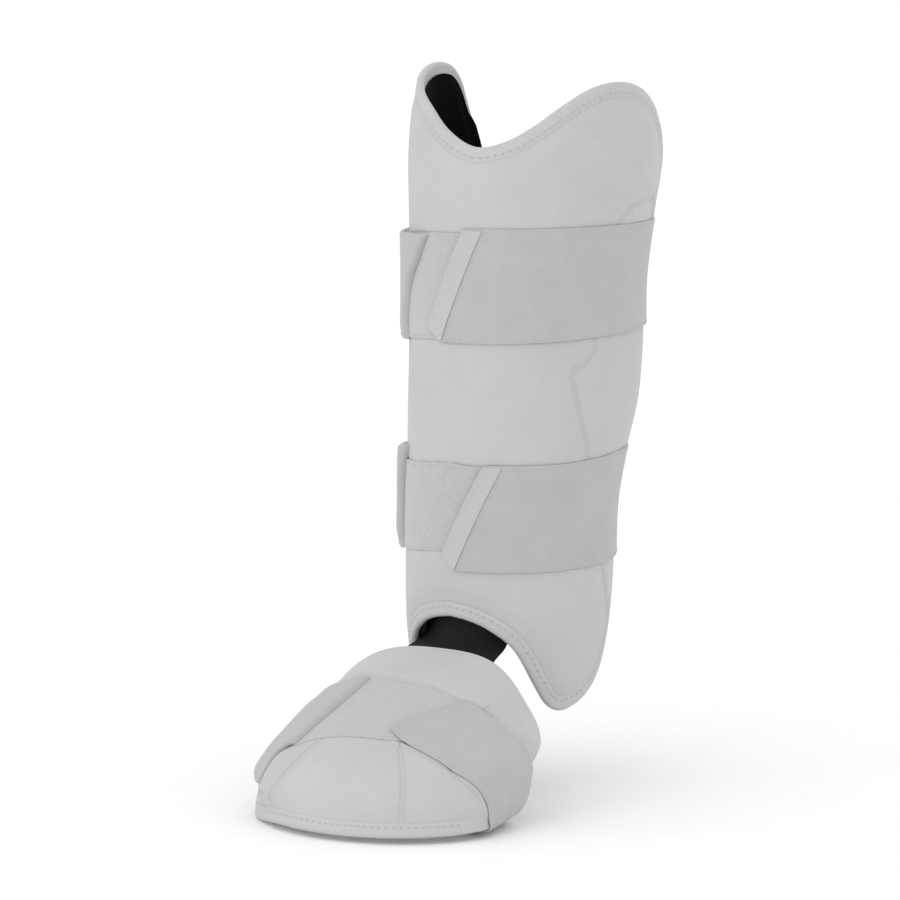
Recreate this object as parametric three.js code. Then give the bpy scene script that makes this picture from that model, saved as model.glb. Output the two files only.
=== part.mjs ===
// A batter's leg guard: a padded shin shell with its lining, two straps, and a foot guard hung on an elastic.
// Millimetres, +Z up, toes towards -Y, +X to the right as seen from the front.
// The origin lies on the lining at the front of the shin, half way up, where the leg rests.
import * as THREE from 'three';

const { degToRad, lerp, clamp, smoothstep } = THREE.MathUtils;

// Driving dimensions
const GAP = 0.3;
const BAND_GAP = 0.6;
const FOOT_BAND_GAP = 0.7;
const SHIN_WALL = 8;
const FOOT_WALL = 7;
const LINING = 1.2;
const LANDING = 2.2;
const STRAP = 2.2;
const LABEL = 0.8;
const ELASTIC = 2;
const HEM = { width: 8, sideWidth: 2.5, swell: 10, outerDrop: 1.2, innerLift: 2.4 };
const WING_ANGLE = 126;
const MEAN_RADIUS = 66;
const LABEL_ANGLE = 10;
const MOST_STEEP = 2.4;

// Shin sections from ankle to knee: ellipses whose front line stands at frontY
const SHIN_SECTIONS = [
  { z: -175, halfWidth: 54, halfDepth: 58.5, frontY: -11.5 },
  { z: -130, halfWidth: 55, halfDepth: 59.5, frontY: -11.5 },
  { z: -95, halfWidth: 56.6, halfDepth: 60.2, frontY: -11 },
  { z: -56, halfWidth: 56.4, halfDepth: 62.2, frontY: -10.4 },
  { z: -28, halfWidth: 58, halfDepth: 67, frontY: -10 },
  { z: 0, halfWidth: 60, halfDepth: 73, frontY: -9.5 },
  { z: 28, halfWidth: 60.5, halfDepth: 75, frontY: -8.5 },
  { z: 68, halfWidth: 61.4, halfDepth: 74.3, frontY: -6.3 },
  { z: 105, halfWidth: 64.5, halfDepth: 77, frontY: -4.5 },
  { z: 140, halfWidth: 68.2, halfDepth: 77.4, frontY: -0.5 },
  { z: 190, halfWidth: 66, halfDepth: 74, frontY: 7 },
];

// Knee edge round the shell: a notch at the front between two raised wings
const KNEE_EDGE = [
  { angle: -126, z: 60 },
  { angle: -121, z: 98 },
  { angle: -114, z: 128 },
  { angle: -107, z: 151 },
  { angle: -101, z: 169 },
  { angle: -95, z: 179 },
  { angle: -85, z: 184.5 },
  { angle: -68, z: 181 },
  { angle: -47, z: 174 },
  { angle: -28, z: 165.5 },
  { angle: -10, z: 152.5 },
  { angle: 6, z: 145 },
  { angle: 20, z: 148 },
  { angle: 32, z: 155.5 },
  { angle: 46, z: 167 },
  { angle: 60, z: 176 },
  { angle: 75, z: 179 },
  { angle: 89, z: 176 },
  { angle: 100, z: 168.5 },
  { angle: 110, z: 157 },
  { angle: 117, z: 140 },
  { angle: 122, z: 113 },
  { angle: 126, z: 65 },
];

// Instep edge, mirrored about a line a little left of the front: an arch between two lobes over the ankle bones
const ARCH_CENTRE = -2;
const INSTEP_EDGE = [
  { angle: 0, z: -111.5 },
  { angle: 12, z: -113.4 },
  { angle: 24, z: -117.8 },
  { angle: 40, z: -129.4 },
  { angle: 53, z: -150 },
  { angle: 60, z: -160 },
  { angle: 69, z: -164.5 },
  { angle: 80, z: -162.5 },
  { angle: 92, z: -157 },
  { angle: 106, z: -146 },
  { angle: 116, z: -132 },
  { angle: 122, z: -112 },
  { angle: 128, z: -70 },
];

// Straps round the shin: heights at the front end and at the left end, edge angles at bottom and top, landing reach
const SHIN_STRAPS = [
  {
    name: 'upper',
    frontEnd: { low: 39, high: 101.5, lowAngle: -18, highAngle: 4 },
    leftEnd: { low: 38, high: 100, lowAngle: -39, highAngle: -18 },
    landing: { low: 38.5, high: 99, left: -82, right: 58 },
  },
  {
    name: 'lower',
    frontEnd: { low: -86, high: -25, lowAngle: -7, highAngle: 18.5 },
    leftEnd: { low: -78, high: -19, lowAngle: -34, highAngle: -29 },
    landing: { low: -78, high: -27, left: -82, right: 58 },
  },
];

// Foot guard: ribs from the toe edge to the instep rim, about a middle point between the lower corners
const FOOT_MIDDLE = { y: -77.5, z: -209 };
const FOOT_RIBS = [
  { reach: -59.5, crown: 0, halfWidth: 73, square: 2, sweep: 1, sideAngle: 80.5 },
  { reach: -53, crown: 21, halfWidth: 73.5, square: 2.1, sweep: 0.95, sideAngle: 80.5 },
  { reach: -41, crown: 35, halfWidth: 74, square: 2.2, sweep: 0.85, sideAngle: 80 },
  { reach: -20, crown: 46.5, halfWidth: 74.5, square: 2.35, sweep: 0.7, sideAngle: 78.5 },
  { reach: 5, crown: 56.5, halfWidth: 75.5, square: 2.5, sweep: 0.5, sideAngle: 77 },
  { reach: 32, crown: 69, halfWidth: 76, square: 2.65, sweep: 0.33, sideAngle: 76 },
  { reach: 58, crown: 82.5, halfWidth: 74.5, square: 2.8, sweep: 0.22, sideAngle: 75 },
];

// Landing across the foot guard: its toe-side and rim-side edges from left to right
const FOOT_LANDING_ROWS = [
  { angle: -38, toeY: -109, rimY: -44 },
  { angle: -20, toeY: -105, rimY: -42.5 },
  { angle: -4, toeY: -103, rimY: -49 },
  { angle: 5, toeY: -98, rimY: -54 },
  { angle: 12, toeY: -90, rimY: -55.5 },
  { angle: 19, toeY: -86, rimY: -56 },
  { angle: 34, toeY: -82, rimY: -58 },
];

// Foot strap on the right side of the guard, from its pointed end down to the sole
const FOOT_STRAP_RIGHT = [
  { angle: 11, toeY: -95, rimY: -60 },
  { angle: 25, toeY: -99.5, rimY: -56.5 },
  { angle: 36, toeY: -100, rimY: -55.5 },
  { angle: 50, toeY: -97.5, rimY: -53.5 },
  { angle: 63, toeY: -93.5, rimY: -50.5 },
  { angle: 80, toeY: -85.5, rimY: -51 },
];

// Foot strap on the left side of the guard, from the sole up to its slanted end
const FOOT_STRAP_LEFT = [
  { angle: -77, toeY: -84, rimY: -54 },
  { angle: -62, toeY: -99, rimY: -55 },
  { angle: -48, toeY: -110, rimY: -53 },
  { angle: -35, toeY: -117, rimY: -51 },
  { angle: -16, toeY: -103, rimY: -46.5 },
];
const FOOT_STRAP_ENDS = { pointSlant: 13.7, leftSlant: 7, soleSlant: 5 };
const SOLE = { z: -211.5, halfWidth: 44, tuck: 8 };

// Middle line of the elastic from inside the shin shell to inside the foot guard, with how far its sides fall back
const CONNECTOR_HALF_WIDTH = 29;
const CONNECTOR_ROWS = [
  { step: 0, x: -4, y: -0.6, z: -78, back: 12.4, down: 0 },
  { step: 1, x: -4, y: -0.7, z: -96, back: 12.4, down: 0 },
  { step: 2, x: -4, y: -0.8, z: -112, back: 13.4, down: 0 },
  { step: 3, x: -2, y: -4, z: -124, back: 15, down: 1.4 },
  { step: 4, x: -1.5, y: -13.5, z: -131, back: 3, down: 1.4 },
  { step: 5, x: 0, y: -24, z: -135.3, back: 0.4, down: 2.6 },
  { step: 6, x: 0, y: -34, z: -142.6, back: 0, down: 2.6 },
];

// Mesh densities
const SHELL_COLUMNS = 32;
const SHELL_ROWS = 11;
const STRAP_COLUMNS = 66;
const STRAP_ROWS = 3;
const LANDING_COLUMNS = 28;
const FOOT_COLUMNS = 26;
const FOOT_ROWS = 10;
const FOOT_BAND_ROWS = 7;
const FOOT_LANDING_COLUMNS = 20;
const FOOT_STRAP_PIECES = { side: 12, corner: 5, sole: 6 };
const CONNECTOR_COLUMNS = 10;
const CONNECTOR_LENGTHS = 12;

const leather = new THREE.MeshStandardMaterial({ color: '#c9c9c8', roughness: 0.62, metalness: 0 });
const mesh = new THREE.MeshStandardMaterial({ color: '#14110f', roughness: 0.9, metalness: 0 });
const webbing = new THREE.MeshStandardMaterial({ color: '#bcbcbc', roughness: 0.85, metalness: 0 });
const pile = new THREE.MeshStandardMaterial({ color: '#c1c1c1', roughness: 0.95, metalness: 0 });
const tape = new THREE.MeshStandardMaterial({ color: '#cbcbcb', roughness: 0.7, metalness: 0 });
const elastic = new THREE.MeshStandardMaterial({ color: '#212121', roughness: 0.85, metalness: 0 });

const guard = new THREE.Group();

// Even marks from low to high
function marks(low, high, steps) {
  return Array.from({ length: steps + 1 }, (_, k) => lerp(low, high, k / steps));
}

// Marks with a hem and a swell at each end and even steps between them
function hemmedMarks(low, high, steps, hem, lowScale, highScale) {
  const insets = [0, hem, hem + HEM.swell];
  const starts = insets.map((inset) => low + inset * lowScale);
  const ends = insets.map((inset) => high - inset * highScale).reverse();
  const middle = marks(starts[2], ends[0], steps).slice(1, -1);
  return [...starts, ...middle, ...ends];
}

// Smooth value of one column of a table whose rows rise by the key
function read(table, key, column, at) {
  const last = table.length - 1;
  const slope = (row) => {
    const low = table[Math.max(row - 1, 0)];
    const high = table[Math.min(row + 1, last)];
    return (high[column] - low[column]) / (high[key] - low[key]);
  };
  let row = 0;
  while (row < last - 1 && at > table[row + 1][key]) row += 1;
  const span = table[row + 1][key] - table[row][key];
  const t = clamp((at - table[row][key]) / span, 0, 1);
  const rise = (3 - 2 * t) * t * t;
  const leave = t * (1 - t) * (1 - t) * span * slope(row);
  const arrive = t * t * (t - 1) * span * slope(row + 1);
  return lerp(table[row][column], table[row + 1][column], rise) + leave + arrive;
}

// Closed sheet over a grid: place gives the outer face for 1 and the inner face for 0
function sheet(name, columns, rows, place, material) {
  const positions = [];
  const triangles = [];
  const stride = rows + 1;
  const faceSize = (columns + 1) * stride;
  const at = (face, i, j) => (face ? 0 : faceSize) + i * stride + j;
  const corner = (index) => new THREE.Vector3().fromArray(positions, 3 * index);
  const apart = (a, b) => corner(a).distanceTo(corner(b));
  const quad = (a, b, c, d) => {
    if (apart(a, c) <= apart(b, d)) triangles.push(a, b, c, a, c, d);
    else triangles.push(a, b, d, b, c, d);
  };
  for (const face of [1, 0]) {
    for (let i = 0; i <= columns; i += 1) {
      for (let j = 0; j <= rows; j += 1) positions.push(...place(i, j, face).toArray());
    }
  }
  for (let i = 0; i < columns; i += 1) {
    for (let j = 0; j < rows; j += 1) {
      quad(at(1, i, j), at(1, i + 1, j), at(1, i + 1, j + 1), at(1, i, j + 1));
      quad(at(0, i, j), at(0, i, j + 1), at(0, i + 1, j + 1), at(0, i + 1, j));
    }
    quad(at(0, i, 0), at(0, i + 1, 0), at(1, i + 1, 0), at(1, i, 0));
    quad(at(1, i, rows), at(1, i + 1, rows), at(0, i + 1, rows), at(0, i, rows));
  }
  for (let j = 0; j < rows; j += 1) {
    quad(at(1, 0, j), at(1, 0, j + 1), at(0, 0, j + 1), at(0, 0, j));
    quad(at(0, columns, j), at(0, columns, j + 1), at(1, columns, j + 1), at(1, columns, j));
  }
  const geometry = new THREE.BufferGeometry();
  geometry.setAttribute('position', new THREE.Float32BufferAttribute(positions, 3));
  geometry.setIndex(triangles);
  geometry.computeVertexNormals();
  const piece = new THREE.Mesh(geometry, material);
  piece.name = name;
  guard.add(piece);
}

// Point on the shin's outer face, moved out by offset
function shinPoint(angle, z, offset) {
  const turn = degToRad(angle);
  const halfWidth = read(SHIN_SECTIONS, 'z', 'halfWidth', z);
  const halfDepth = read(SHIN_SECTIONS, 'z', 'halfDepth', z);
  const frontY = read(SHIN_SECTIONS, 'z', 'frontY', z);
  const normal = new THREE.Vector2(Math.sin(turn) / halfWidth, -Math.cos(turn) / halfDepth).normalize();
  return new THREE.Vector3(
    halfWidth * Math.sin(turn) + offset * normal.x,
    frontY + halfDepth * (1 - Math.cos(turn)) + offset * normal.y,
    z,
  );
}

// Height of the shell's knee edge or instep edge, and how steep it runs there
const kneeEdge = (angle) => read(KNEE_EDGE, 'angle', 'z', angle);
const instepEdge = (angle) => read(INSTEP_EDGE, 'angle', 'z', Math.abs(angle - ARCH_CENTRE));

function steepness(edge, angle) {
  const step = 1;
  const run = degToRad(2 * step) * MEAN_RADIUS;
  return Math.hypot(1, (edge(angle + step) - edge(angle - step)) / run);
}

// Depths of a padded shell's two faces at a grid place: its hem is thinner than its wall
function hemFaces(grid, i, j, wall) {
  const inHem = Math.min(i, j, grid.length - 1 - i, grid[0].length - 1 - j) < 2;
  return inHem ? [HEM.innerLift - wall, -HEM.outerDrop] : [-wall, 0];
}

function hemmedShell(name, grid, point, wall) {
  sheet(name, grid.length - 1, grid[0].length - 1, (i, j, face) => {
    const { across, along } = grid[i][j];
    return point(across, along, hemFaces(grid, i, j, wall)[face]);
  }, leather);
}

// Grid of the shin shell: columns from the left wing to the right wing, rows from the instep to the knee
function shinGrid() {
  const reach = degToRad(WING_ANGLE) * MEAN_RADIUS;
  return hemmedMarks(-reach, reach, SHELL_COLUMNS, HEM.sideWidth, 1, 1).map((arc) => {
    const across = (arc / reach) * WING_ANGLE;
    const low = instepEdge(across);
    const high = kneeEdge(across);
    const lowScale = Math.min(steepness(instepEdge, across), MOST_STEEP);
    const highScale = Math.min(steepness(kneeEdge, across), MOST_STEEP);
    const heights = hemmedMarks(low, high, SHELL_ROWS, HEM.width, lowScale, highScale);
    return heights.map((along) => ({ across, along }));
  });
}

function buildShin() {
  const grid = shinGrid();
  hemmedShell('shin_shell', grid, shinPoint, SHIN_WALL);
  const columns = grid.length - 3;
  const rows = grid[0].length - 3;
  sheet('shin_lining', columns, rows, (i, j, face) => {
    const { across, along } = grid[i + 1][j + 1];
    const [inner] = hemFaces(grid, i + 1, j + 1, SHIN_WALL);
    return shinPoint(across, along, inner - GAP - (face ? 0 : LINING));
  }, mesh);
}

// How far a shin strap's inner face stands off the shell: over its landing or straight on the shell
function strapLift(landing, angle) {
  const around = angle > 180 ? angle - 360 : angle;
  const over = smoothstep(around, landing.left - 14, landing.left - 3);
  const past = smoothstep(around, landing.right + 3, landing.right + 14);
  return BAND_GAP + (LANDING + BAND_GAP) * over * (1 - past);
}

// A band across the front, a strap that runs from the front end round the calf to the left end, and its tape
function buildShinStrap({ name, frontEnd, leftEnd, landing }) {
  sheet(`${name}_landing`, LANDING_COLUMNS, STRAP_ROWS, (i, j, face) => {
    const angle = lerp(landing.left, landing.right, i / LANDING_COLUMNS);
    const z = lerp(landing.low, landing.high, j / STRAP_ROWS);
    return shinPoint(angle, z, BAND_GAP + (face ? LANDING : 0));
  }, pile);

  sheet(`${name}_strap`, STRAP_COLUMNS, STRAP_ROWS, (i, j, face) => {
    const along = i / STRAP_COLUMNS;
    const across = j / STRAP_ROWS;
    const start = lerp(frontEnd.lowAngle, frontEnd.highAngle, across);
    const finish = 360 + lerp(leftEnd.lowAngle, leftEnd.highAngle, across);
    const angle = lerp(start, finish, along);
    const low = lerp(frontEnd.low, leftEnd.low, along);
    const high = lerp(frontEnd.high, leftEnd.high, along);
    const lift = strapLift(landing, angle);
    return shinPoint(angle, lerp(low, high, across), lift + (face ? STRAP : 0));
  }, webbing);

  const labelColumns = 3;
  sheet(`${name}_label`, labelColumns, STRAP_ROWS, (i, j, face) => {
    const across = j / STRAP_ROWS;
    const start = lerp(frontEnd.lowAngle, frontEnd.highAngle, across);
    const angle = start + (LABEL_ANGLE * i) / labelColumns;
    const lift = strapLift(landing, angle) + STRAP + BAND_GAP;
    return shinPoint(angle, lerp(frontEnd.low, frontEnd.high, across), lift + (face ? LABEL : 0));
  }, tape);
}

// Point on the foot guard's outer face
function footFace(angle, reach) {
  const turn = degToRad(angle);
  const crown = read(FOOT_RIBS, 'reach', 'crown', reach);
  const halfWidth = read(FOOT_RIBS, 'reach', 'halfWidth', reach);
  const power = 2 / read(FOOT_RIBS, 'reach', 'square', reach);
  const sweep = read(FOOT_RIBS, 'reach', 'sweep', reach);
  return new THREE.Vector3(
    halfWidth * Math.sign(turn) * Math.abs(Math.sin(turn)) ** power,
    FOOT_MIDDLE.y + reach * Math.cos(turn) ** sweep,
    FOOT_MIDDLE.z + crown * Math.cos(turn) ** power,
  );
}

// Point on the foot guard's outer face, moved out by offset along its normal
function footPoint(angle, reach, offset) {
  const turnStep = 0.5;
  const reachStep = 0.2;
  const first = FOOT_RIBS[0].reach;
  const last = FOOT_RIBS[FOOT_RIBS.length - 1].reach;
  const back = Math.max(reach - reachStep, first);
  const ahead = Math.min(reach + reachStep, last);
  const right = footFace(angle + turnStep, reach).sub(footFace(angle - turnStep, reach));
  const up = footFace(angle, ahead).sub(footFace(angle, back));
  return footFace(angle, reach).addScaledVector(right.cross(up).normalize(), offset);
}

// Reach of the rib that passes through y at an angle
function footReach(angle, y) {
  let low = FOOT_RIBS[0].reach;
  let high = FOOT_RIBS[FOOT_RIBS.length - 1].reach;
  const halvings = 30;
  for (let k = 0; k < halvings; k += 1) {
    const middle = (low + high) / 2;
    if (footFace(angle, middle).y < y) low = middle;
    else high = middle;
  }
  return (low + high) / 2;
}

function buildFootShell() {
  const first = FOOT_RIBS[0].reach;
  const last = FOOT_RIBS[FOOT_RIBS.length - 1].reach;
  const toeScale = 0.3;
  const reaches = hemmedMarks(first, last, FOOT_ROWS, HEM.width, toeScale, 1);
  const sideScale = 0.01;
  const shares = hemmedMarks(-1, 1, FOOT_COLUMNS, HEM.width, sideScale, sideScale);
  const sideAngle = (reach) => read(FOOT_RIBS, 'reach', 'sideAngle', reach);
  const grid = shares.map((share) => reaches.map((along) => ({ across: share * sideAngle(along), along })));
  hemmedShell('foot_shell', grid, footPoint, FOOT_WALL);
}

// Point of a band on the foot guard: angle round it, how far from its toe-side to its rim-side edge, and offset
function bandPoint(rows, angle, across, offset) {
  const toeY = read(rows, 'angle', 'toeY', angle);
  const rimY = read(rows, 'angle', 'rimY', angle);
  return footPoint(angle, footReach(angle, lerp(toeY, rimY, across)), offset);
}

function buildFootLanding() {
  const first = FOOT_LANDING_ROWS[0].angle;
  const last = FOOT_LANDING_ROWS[FOOT_LANDING_ROWS.length - 1].angle;
  sheet('foot_landing', FOOT_LANDING_COLUMNS, FOOT_BAND_ROWS, (i, j, face) => {
    const angle = lerp(first, last, i / FOOT_LANDING_COLUMNS);
    return bandPoint(FOOT_LANDING_ROWS, angle, j / FOOT_BAND_ROWS, FOOT_BAND_GAP + (face ? LANDING : 0));
  }, pile);
}

// How far the foot strap's inner face stands off the guard
function footStrapLift(angle) {
  const first = FOOT_LANDING_ROWS[0].angle;
  const last = FOOT_LANDING_ROWS[FOOT_LANDING_ROWS.length - 1].angle;
  const over = smoothstep(angle, first - 14, first - 3);
  const past = smoothstep(angle, last + 3, last + 14);
  return FOOT_BAND_GAP + (LANDING + BAND_GAP) * over * (1 - past);
}

// One width of the foot strap: down the right side, under the sole and up the left side
function footStrapLine(across, face) {
  const { side, corner, sole } = FOOT_STRAP_PIECES;
  const right = FOOT_STRAP_RIGHT;
  const left = FOOT_STRAP_LEFT;
  const thick = face ? STRAP : 0;
  const onSide = (rows, angle) => bandPoint(rows, angle, across, footStrapLift(angle) + thick);
  const rightStart = right[0].angle + FOOT_STRAP_ENDS.pointSlant * across;
  const leftFinish = left[left.length - 1].angle + FOOT_STRAP_ENDS.leftSlant * (across - 0.5);
  const rightFinish = right[right.length - 1].angle - FOOT_STRAP_ENDS.soleSlant * across;
  const rightSide = marks(rightStart, rightFinish, side).map((angle) => onSide(right, angle));
  const leftSide = marks(left[0].angle, leftFinish, side).map((angle) => onSide(left, angle));
  const soleZ = SOLE.z - thick;
  const rightFoot = rightSide[side];
  const leftFoot = leftSide[0];
  const rightSole = new THREE.Vector3(SOLE.halfWidth, rightFoot.y, soleZ);
  const leftSole = new THREE.Vector3(-SOLE.halfWidth, leftFoot.y, soleZ);
  const bend = (from, to, outside) => {
    const tuck = SOLE.tuck * across * Math.sign(outside.x);
    const knee = new THREE.Vector3(outside.x - tuck, outside.y, soleZ);
    return new THREE.QuadraticBezierCurve3(from, knee, to).getPoints(corner).slice(1);
  };
  const under = marks(0, 1, sole).slice(1).map((t) => rightSole.clone().lerp(leftSole, t));
  return [
    ...rightSide,
    ...bend(rightFoot, rightSole, rightFoot),
    ...under,
    ...bend(leftSole, leftFoot, leftFoot),
    ...leftSide.slice(1),
  ];
}

function buildFootStrap() {
  const lines = [0, 1].map((face) => marks(0, 1, FOOT_BAND_ROWS).map((across) => footStrapLine(across, face)));
  const columns = lines[0][0].length - 1;
  sheet('foot_strap', columns, FOOT_BAND_ROWS, (i, j, face) => lines[face][j][i], webbing);
}

// Elastic that bends from the back of the arch forward under the instep rim
function buildConnector() {
  const last = CONNECTOR_ROWS.length - 1;
  const middle = (step) => new THREE.Vector2(
    read(CONNECTOR_ROWS, 'step', 'y', step),
    read(CONNECTOR_ROWS, 'step', 'z', step),
  );
  sheet('ankle_connector', CONNECTOR_COLUMNS, CONNECTOR_LENGTHS, (i, j, face) => {
    const step = last * (1 - j / CONNECTOR_LENGTHS);
    const side = lerp(-1, 1, i / CONNECTOR_COLUMNS);
    const nudge = 0.1;
    const down = middle(Math.min(step + nudge, last)).sub(middle(Math.max(step - nudge, 0))).normalize();
    const front = new THREE.Vector2(down.y, -down.x);
    const centre = middle(step).addScaledVector(front, face ? 0 : -ELASTIC);
    const x = read(CONNECTOR_ROWS, 'step', 'x', step) + side * CONNECTOR_HALF_WIDTH;
    const fall = (x / CONNECTOR_HALF_WIDTH) ** 2;
    return new THREE.Vector3(
      x,
      centre.x + fall * read(CONNECTOR_ROWS, 'step', 'back', step),
      centre.y - fall * read(CONNECTOR_ROWS, 'step', 'down', step),
    );
  }, elastic);
}

buildShin();
SHIN_STRAPS.forEach(buildShinStrap);
buildConnector();
buildFootShell();
buildFootLanding();
buildFootStrap();

export default guard;
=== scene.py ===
"""Looks of a batter's leg guard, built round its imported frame.

Sizes are in millimetres and angles in degrees, and a mesh becomes metres when it is made.
An angle runs round the leg from the middle of the front, positive towards the right side.
"""

import logging
import math
from dataclasses import dataclass, field
from enum import Enum
from typing import Any, ClassVar

import bpy
import numpy as np
from mathutils import Matrix, Vector


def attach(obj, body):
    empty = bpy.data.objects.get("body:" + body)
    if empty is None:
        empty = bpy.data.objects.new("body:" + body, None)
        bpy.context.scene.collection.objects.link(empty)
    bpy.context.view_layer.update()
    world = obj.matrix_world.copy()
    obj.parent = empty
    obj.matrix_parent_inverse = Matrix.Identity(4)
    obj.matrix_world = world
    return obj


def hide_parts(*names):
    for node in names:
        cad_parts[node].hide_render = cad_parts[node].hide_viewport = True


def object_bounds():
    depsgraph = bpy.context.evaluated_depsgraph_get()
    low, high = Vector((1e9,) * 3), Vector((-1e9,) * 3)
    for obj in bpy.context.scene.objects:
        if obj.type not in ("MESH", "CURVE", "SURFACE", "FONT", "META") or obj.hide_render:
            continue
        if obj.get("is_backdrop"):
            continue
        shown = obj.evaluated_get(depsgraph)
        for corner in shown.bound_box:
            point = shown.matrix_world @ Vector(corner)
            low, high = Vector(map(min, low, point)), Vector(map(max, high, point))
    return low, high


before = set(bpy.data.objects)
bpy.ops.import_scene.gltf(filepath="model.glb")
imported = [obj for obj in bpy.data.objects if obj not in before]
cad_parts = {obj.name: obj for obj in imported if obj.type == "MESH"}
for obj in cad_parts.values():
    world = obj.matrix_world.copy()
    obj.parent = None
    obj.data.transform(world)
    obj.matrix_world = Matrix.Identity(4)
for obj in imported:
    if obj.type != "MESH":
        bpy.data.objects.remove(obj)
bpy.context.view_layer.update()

Array = np.ndarray
Colour = tuple[float, float, float, float]
Span = tuple[float, float]

LOG = logging.getLogger("leg_guard")
MM = 0.001
ROOT = "root"
CLOTH_MAP = "Cloth"
SEAM_MAP = "Seam"
MOULD_MAP = "Mould"
FADE_MAP = "Fade"
FULL_TURN = 360.0
FAR = 50.0
HIDDEN_SEAM = -9.0
TINY = 1e-12
HEM_STITCH_INSET = 5.7
HEM_CREASE_INSET = 8.3


class Slot(Enum):
    """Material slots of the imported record."""

    LEATHER = "leather"
    LINING = "lining_mesh"
    PILE = "loop_pile"
    WEBBING = "strap_webbing"
    TAPE = "label_tape"
    ELASTIC = "elastic"


class Hold(Enum):
    """How a sheet is held."""

    LAID = "laid"
    STRETCHED = "stretched"


class Side(Enum):
    """Sides of a grid of columns and rows."""

    LOW = "low"
    HIGH = "high"
    START = "start"
    FINISH = "finish"


def blend(low: Any, high: Any, share: Any) -> Any:
    """Value a share of the way from low to high."""
    return low + (high - low) * share


def ease(value: Any, low: float, high: float) -> Any:
    """Smooth rise from 0 at low to 1 at high."""
    share = np.clip((np.asarray(value, float) - low) / (high - low), 0, 1)
    return share * share * (3 - 2 * share)


def ridge(distance: Any, width: float) -> Any:
    """Smooth hump of height 1 at distance 0."""
    return np.exp(-((distance / width) ** 2))


def rounded(distance: Any, radius: Any) -> Any:
    """Rise from 0 at an edge to 1 at a radius in from it, along a quarter circle."""
    share = np.clip(distance / radius, 0, 1)
    return np.sqrt(1 - (1 - share) ** 2)


def unit(vectors: Array) -> Array:
    """Vectors of length 1 along the last axis."""
    return vectors / np.maximum(np.linalg.norm(vectors, axis=-1, keepdims=True), TINY)


def grey(level: float) -> Colour:
    """Neutral colour of a linear level."""
    return (level, level, level, 1.0)


def end_slope(share: Any, thin: float, full: Any, bend: float = 1.7) -> Any:
    """Thickness that rises from a thin end to its full size along a rounded slope."""
    short = 1 - np.clip(share, 0, 1)
    return blend(full, thin, short**bend)


def edged_marks(length: float, steps: int, insets: tuple[float, ...]) -> Array:
    """Marks along a length, close together at both ends.

    Args:
        length: Whole length.
        steps: Even steps between the two ends' insets.
        insets: Distances from either end, rising from 0.

    Returns:
        Marks from 0 to length.
    """
    start = np.array(insets)
    finish = length - start[::-1]
    middle = np.linspace(start[-1], finish[0], steps + 1)[1:-1]
    return np.concatenate([start, middle, finish])


def run_lengths(points: Array, axis: int) -> Array:
    """Length run along an axis of a grid of points, from its first place.

    Args:
        points: Grid of points, columns by rows by 3.
        axis: 0 to run along the columns, 1 to run along the rows.

    Returns:
        Lengths, columns by rows.
    """
    steps = np.linalg.norm(np.diff(points, axis=axis), axis=-1)
    pad = [(1, 0) if k == axis else (0, 0) for k in range(2)]
    return np.pad(np.cumsum(steps, axis=axis), pad)


def edge_loop(grid: Array) -> Array:
    """Points round the edge of a grid, back to the first."""
    return np.concatenate([grid[:, 0], grid[-1, 1:], grid[-2::-1, -1], grid[0, -2::-1]])


def surface_normals(points: Array) -> Array:
    """Unit normals of a grid whose columns run right and rows run up."""
    return unit(np.cross(np.gradient(points, axis=0), np.gradient(points, axis=1)))


@dataclass(frozen=True)
class Table:
    """Smooth columns of numbers, read by the first one, which rises from row to row."""

    columns: tuple[str, ...]
    rows: tuple[tuple[float, ...], ...]

    def read(self, column: str, at: Any) -> Array:
        """Smooth value of a column.

        Args:
            column: Name of the column.
            at: Values of the first column to read at.

        Returns:
            Values in the shape of at.
        """
        data = np.array(self.rows, float)
        keys = data[:, 0]
        values = data[:, self.columns.index(column)]
        last = len(keys) - 1
        back = np.maximum(np.arange(last + 1) - 1, 0)
        ahead = np.minimum(np.arange(last + 1) + 1, last)
        slopes = (values[ahead] - values[back]) / (keys[ahead] - keys[back])
        at = np.asarray(at, float)
        row = np.clip(np.searchsorted(keys, at) - 1, 0, last - 1)
        span = keys[row + 1] - keys[row]
        share = np.clip((at - keys[row]) / span, 0, 1)
        rise = blend(values[row], values[row + 1], (3 - 2 * share) * share**2)
        leave = share * (1 - share) ** 2 * span * slopes[row]
        arrive = share**2 * (share - 1) * span * slopes[row + 1]
        return rise + leave + arrive

    def line(self, column: str, at: Any) -> Array:
        """Value of a column along straight lines from row to row."""
        data = np.array(self.rows, float)
        return np.interp(at, data[:, 0], data[:, self.columns.index(column)])

    @property
    def ends(self) -> Span:
        """First and last values of the first column."""
        return self.rows[0][0], self.rows[-1][0]

    def trace(self, steps: int) -> dict[str, Array]:
        """Smooth line through the rows: every column at even steps of the first."""
        at = np.linspace(*self.ends, steps + 1)
        return {column: self.read(column, at) for column in self.columns}


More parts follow.
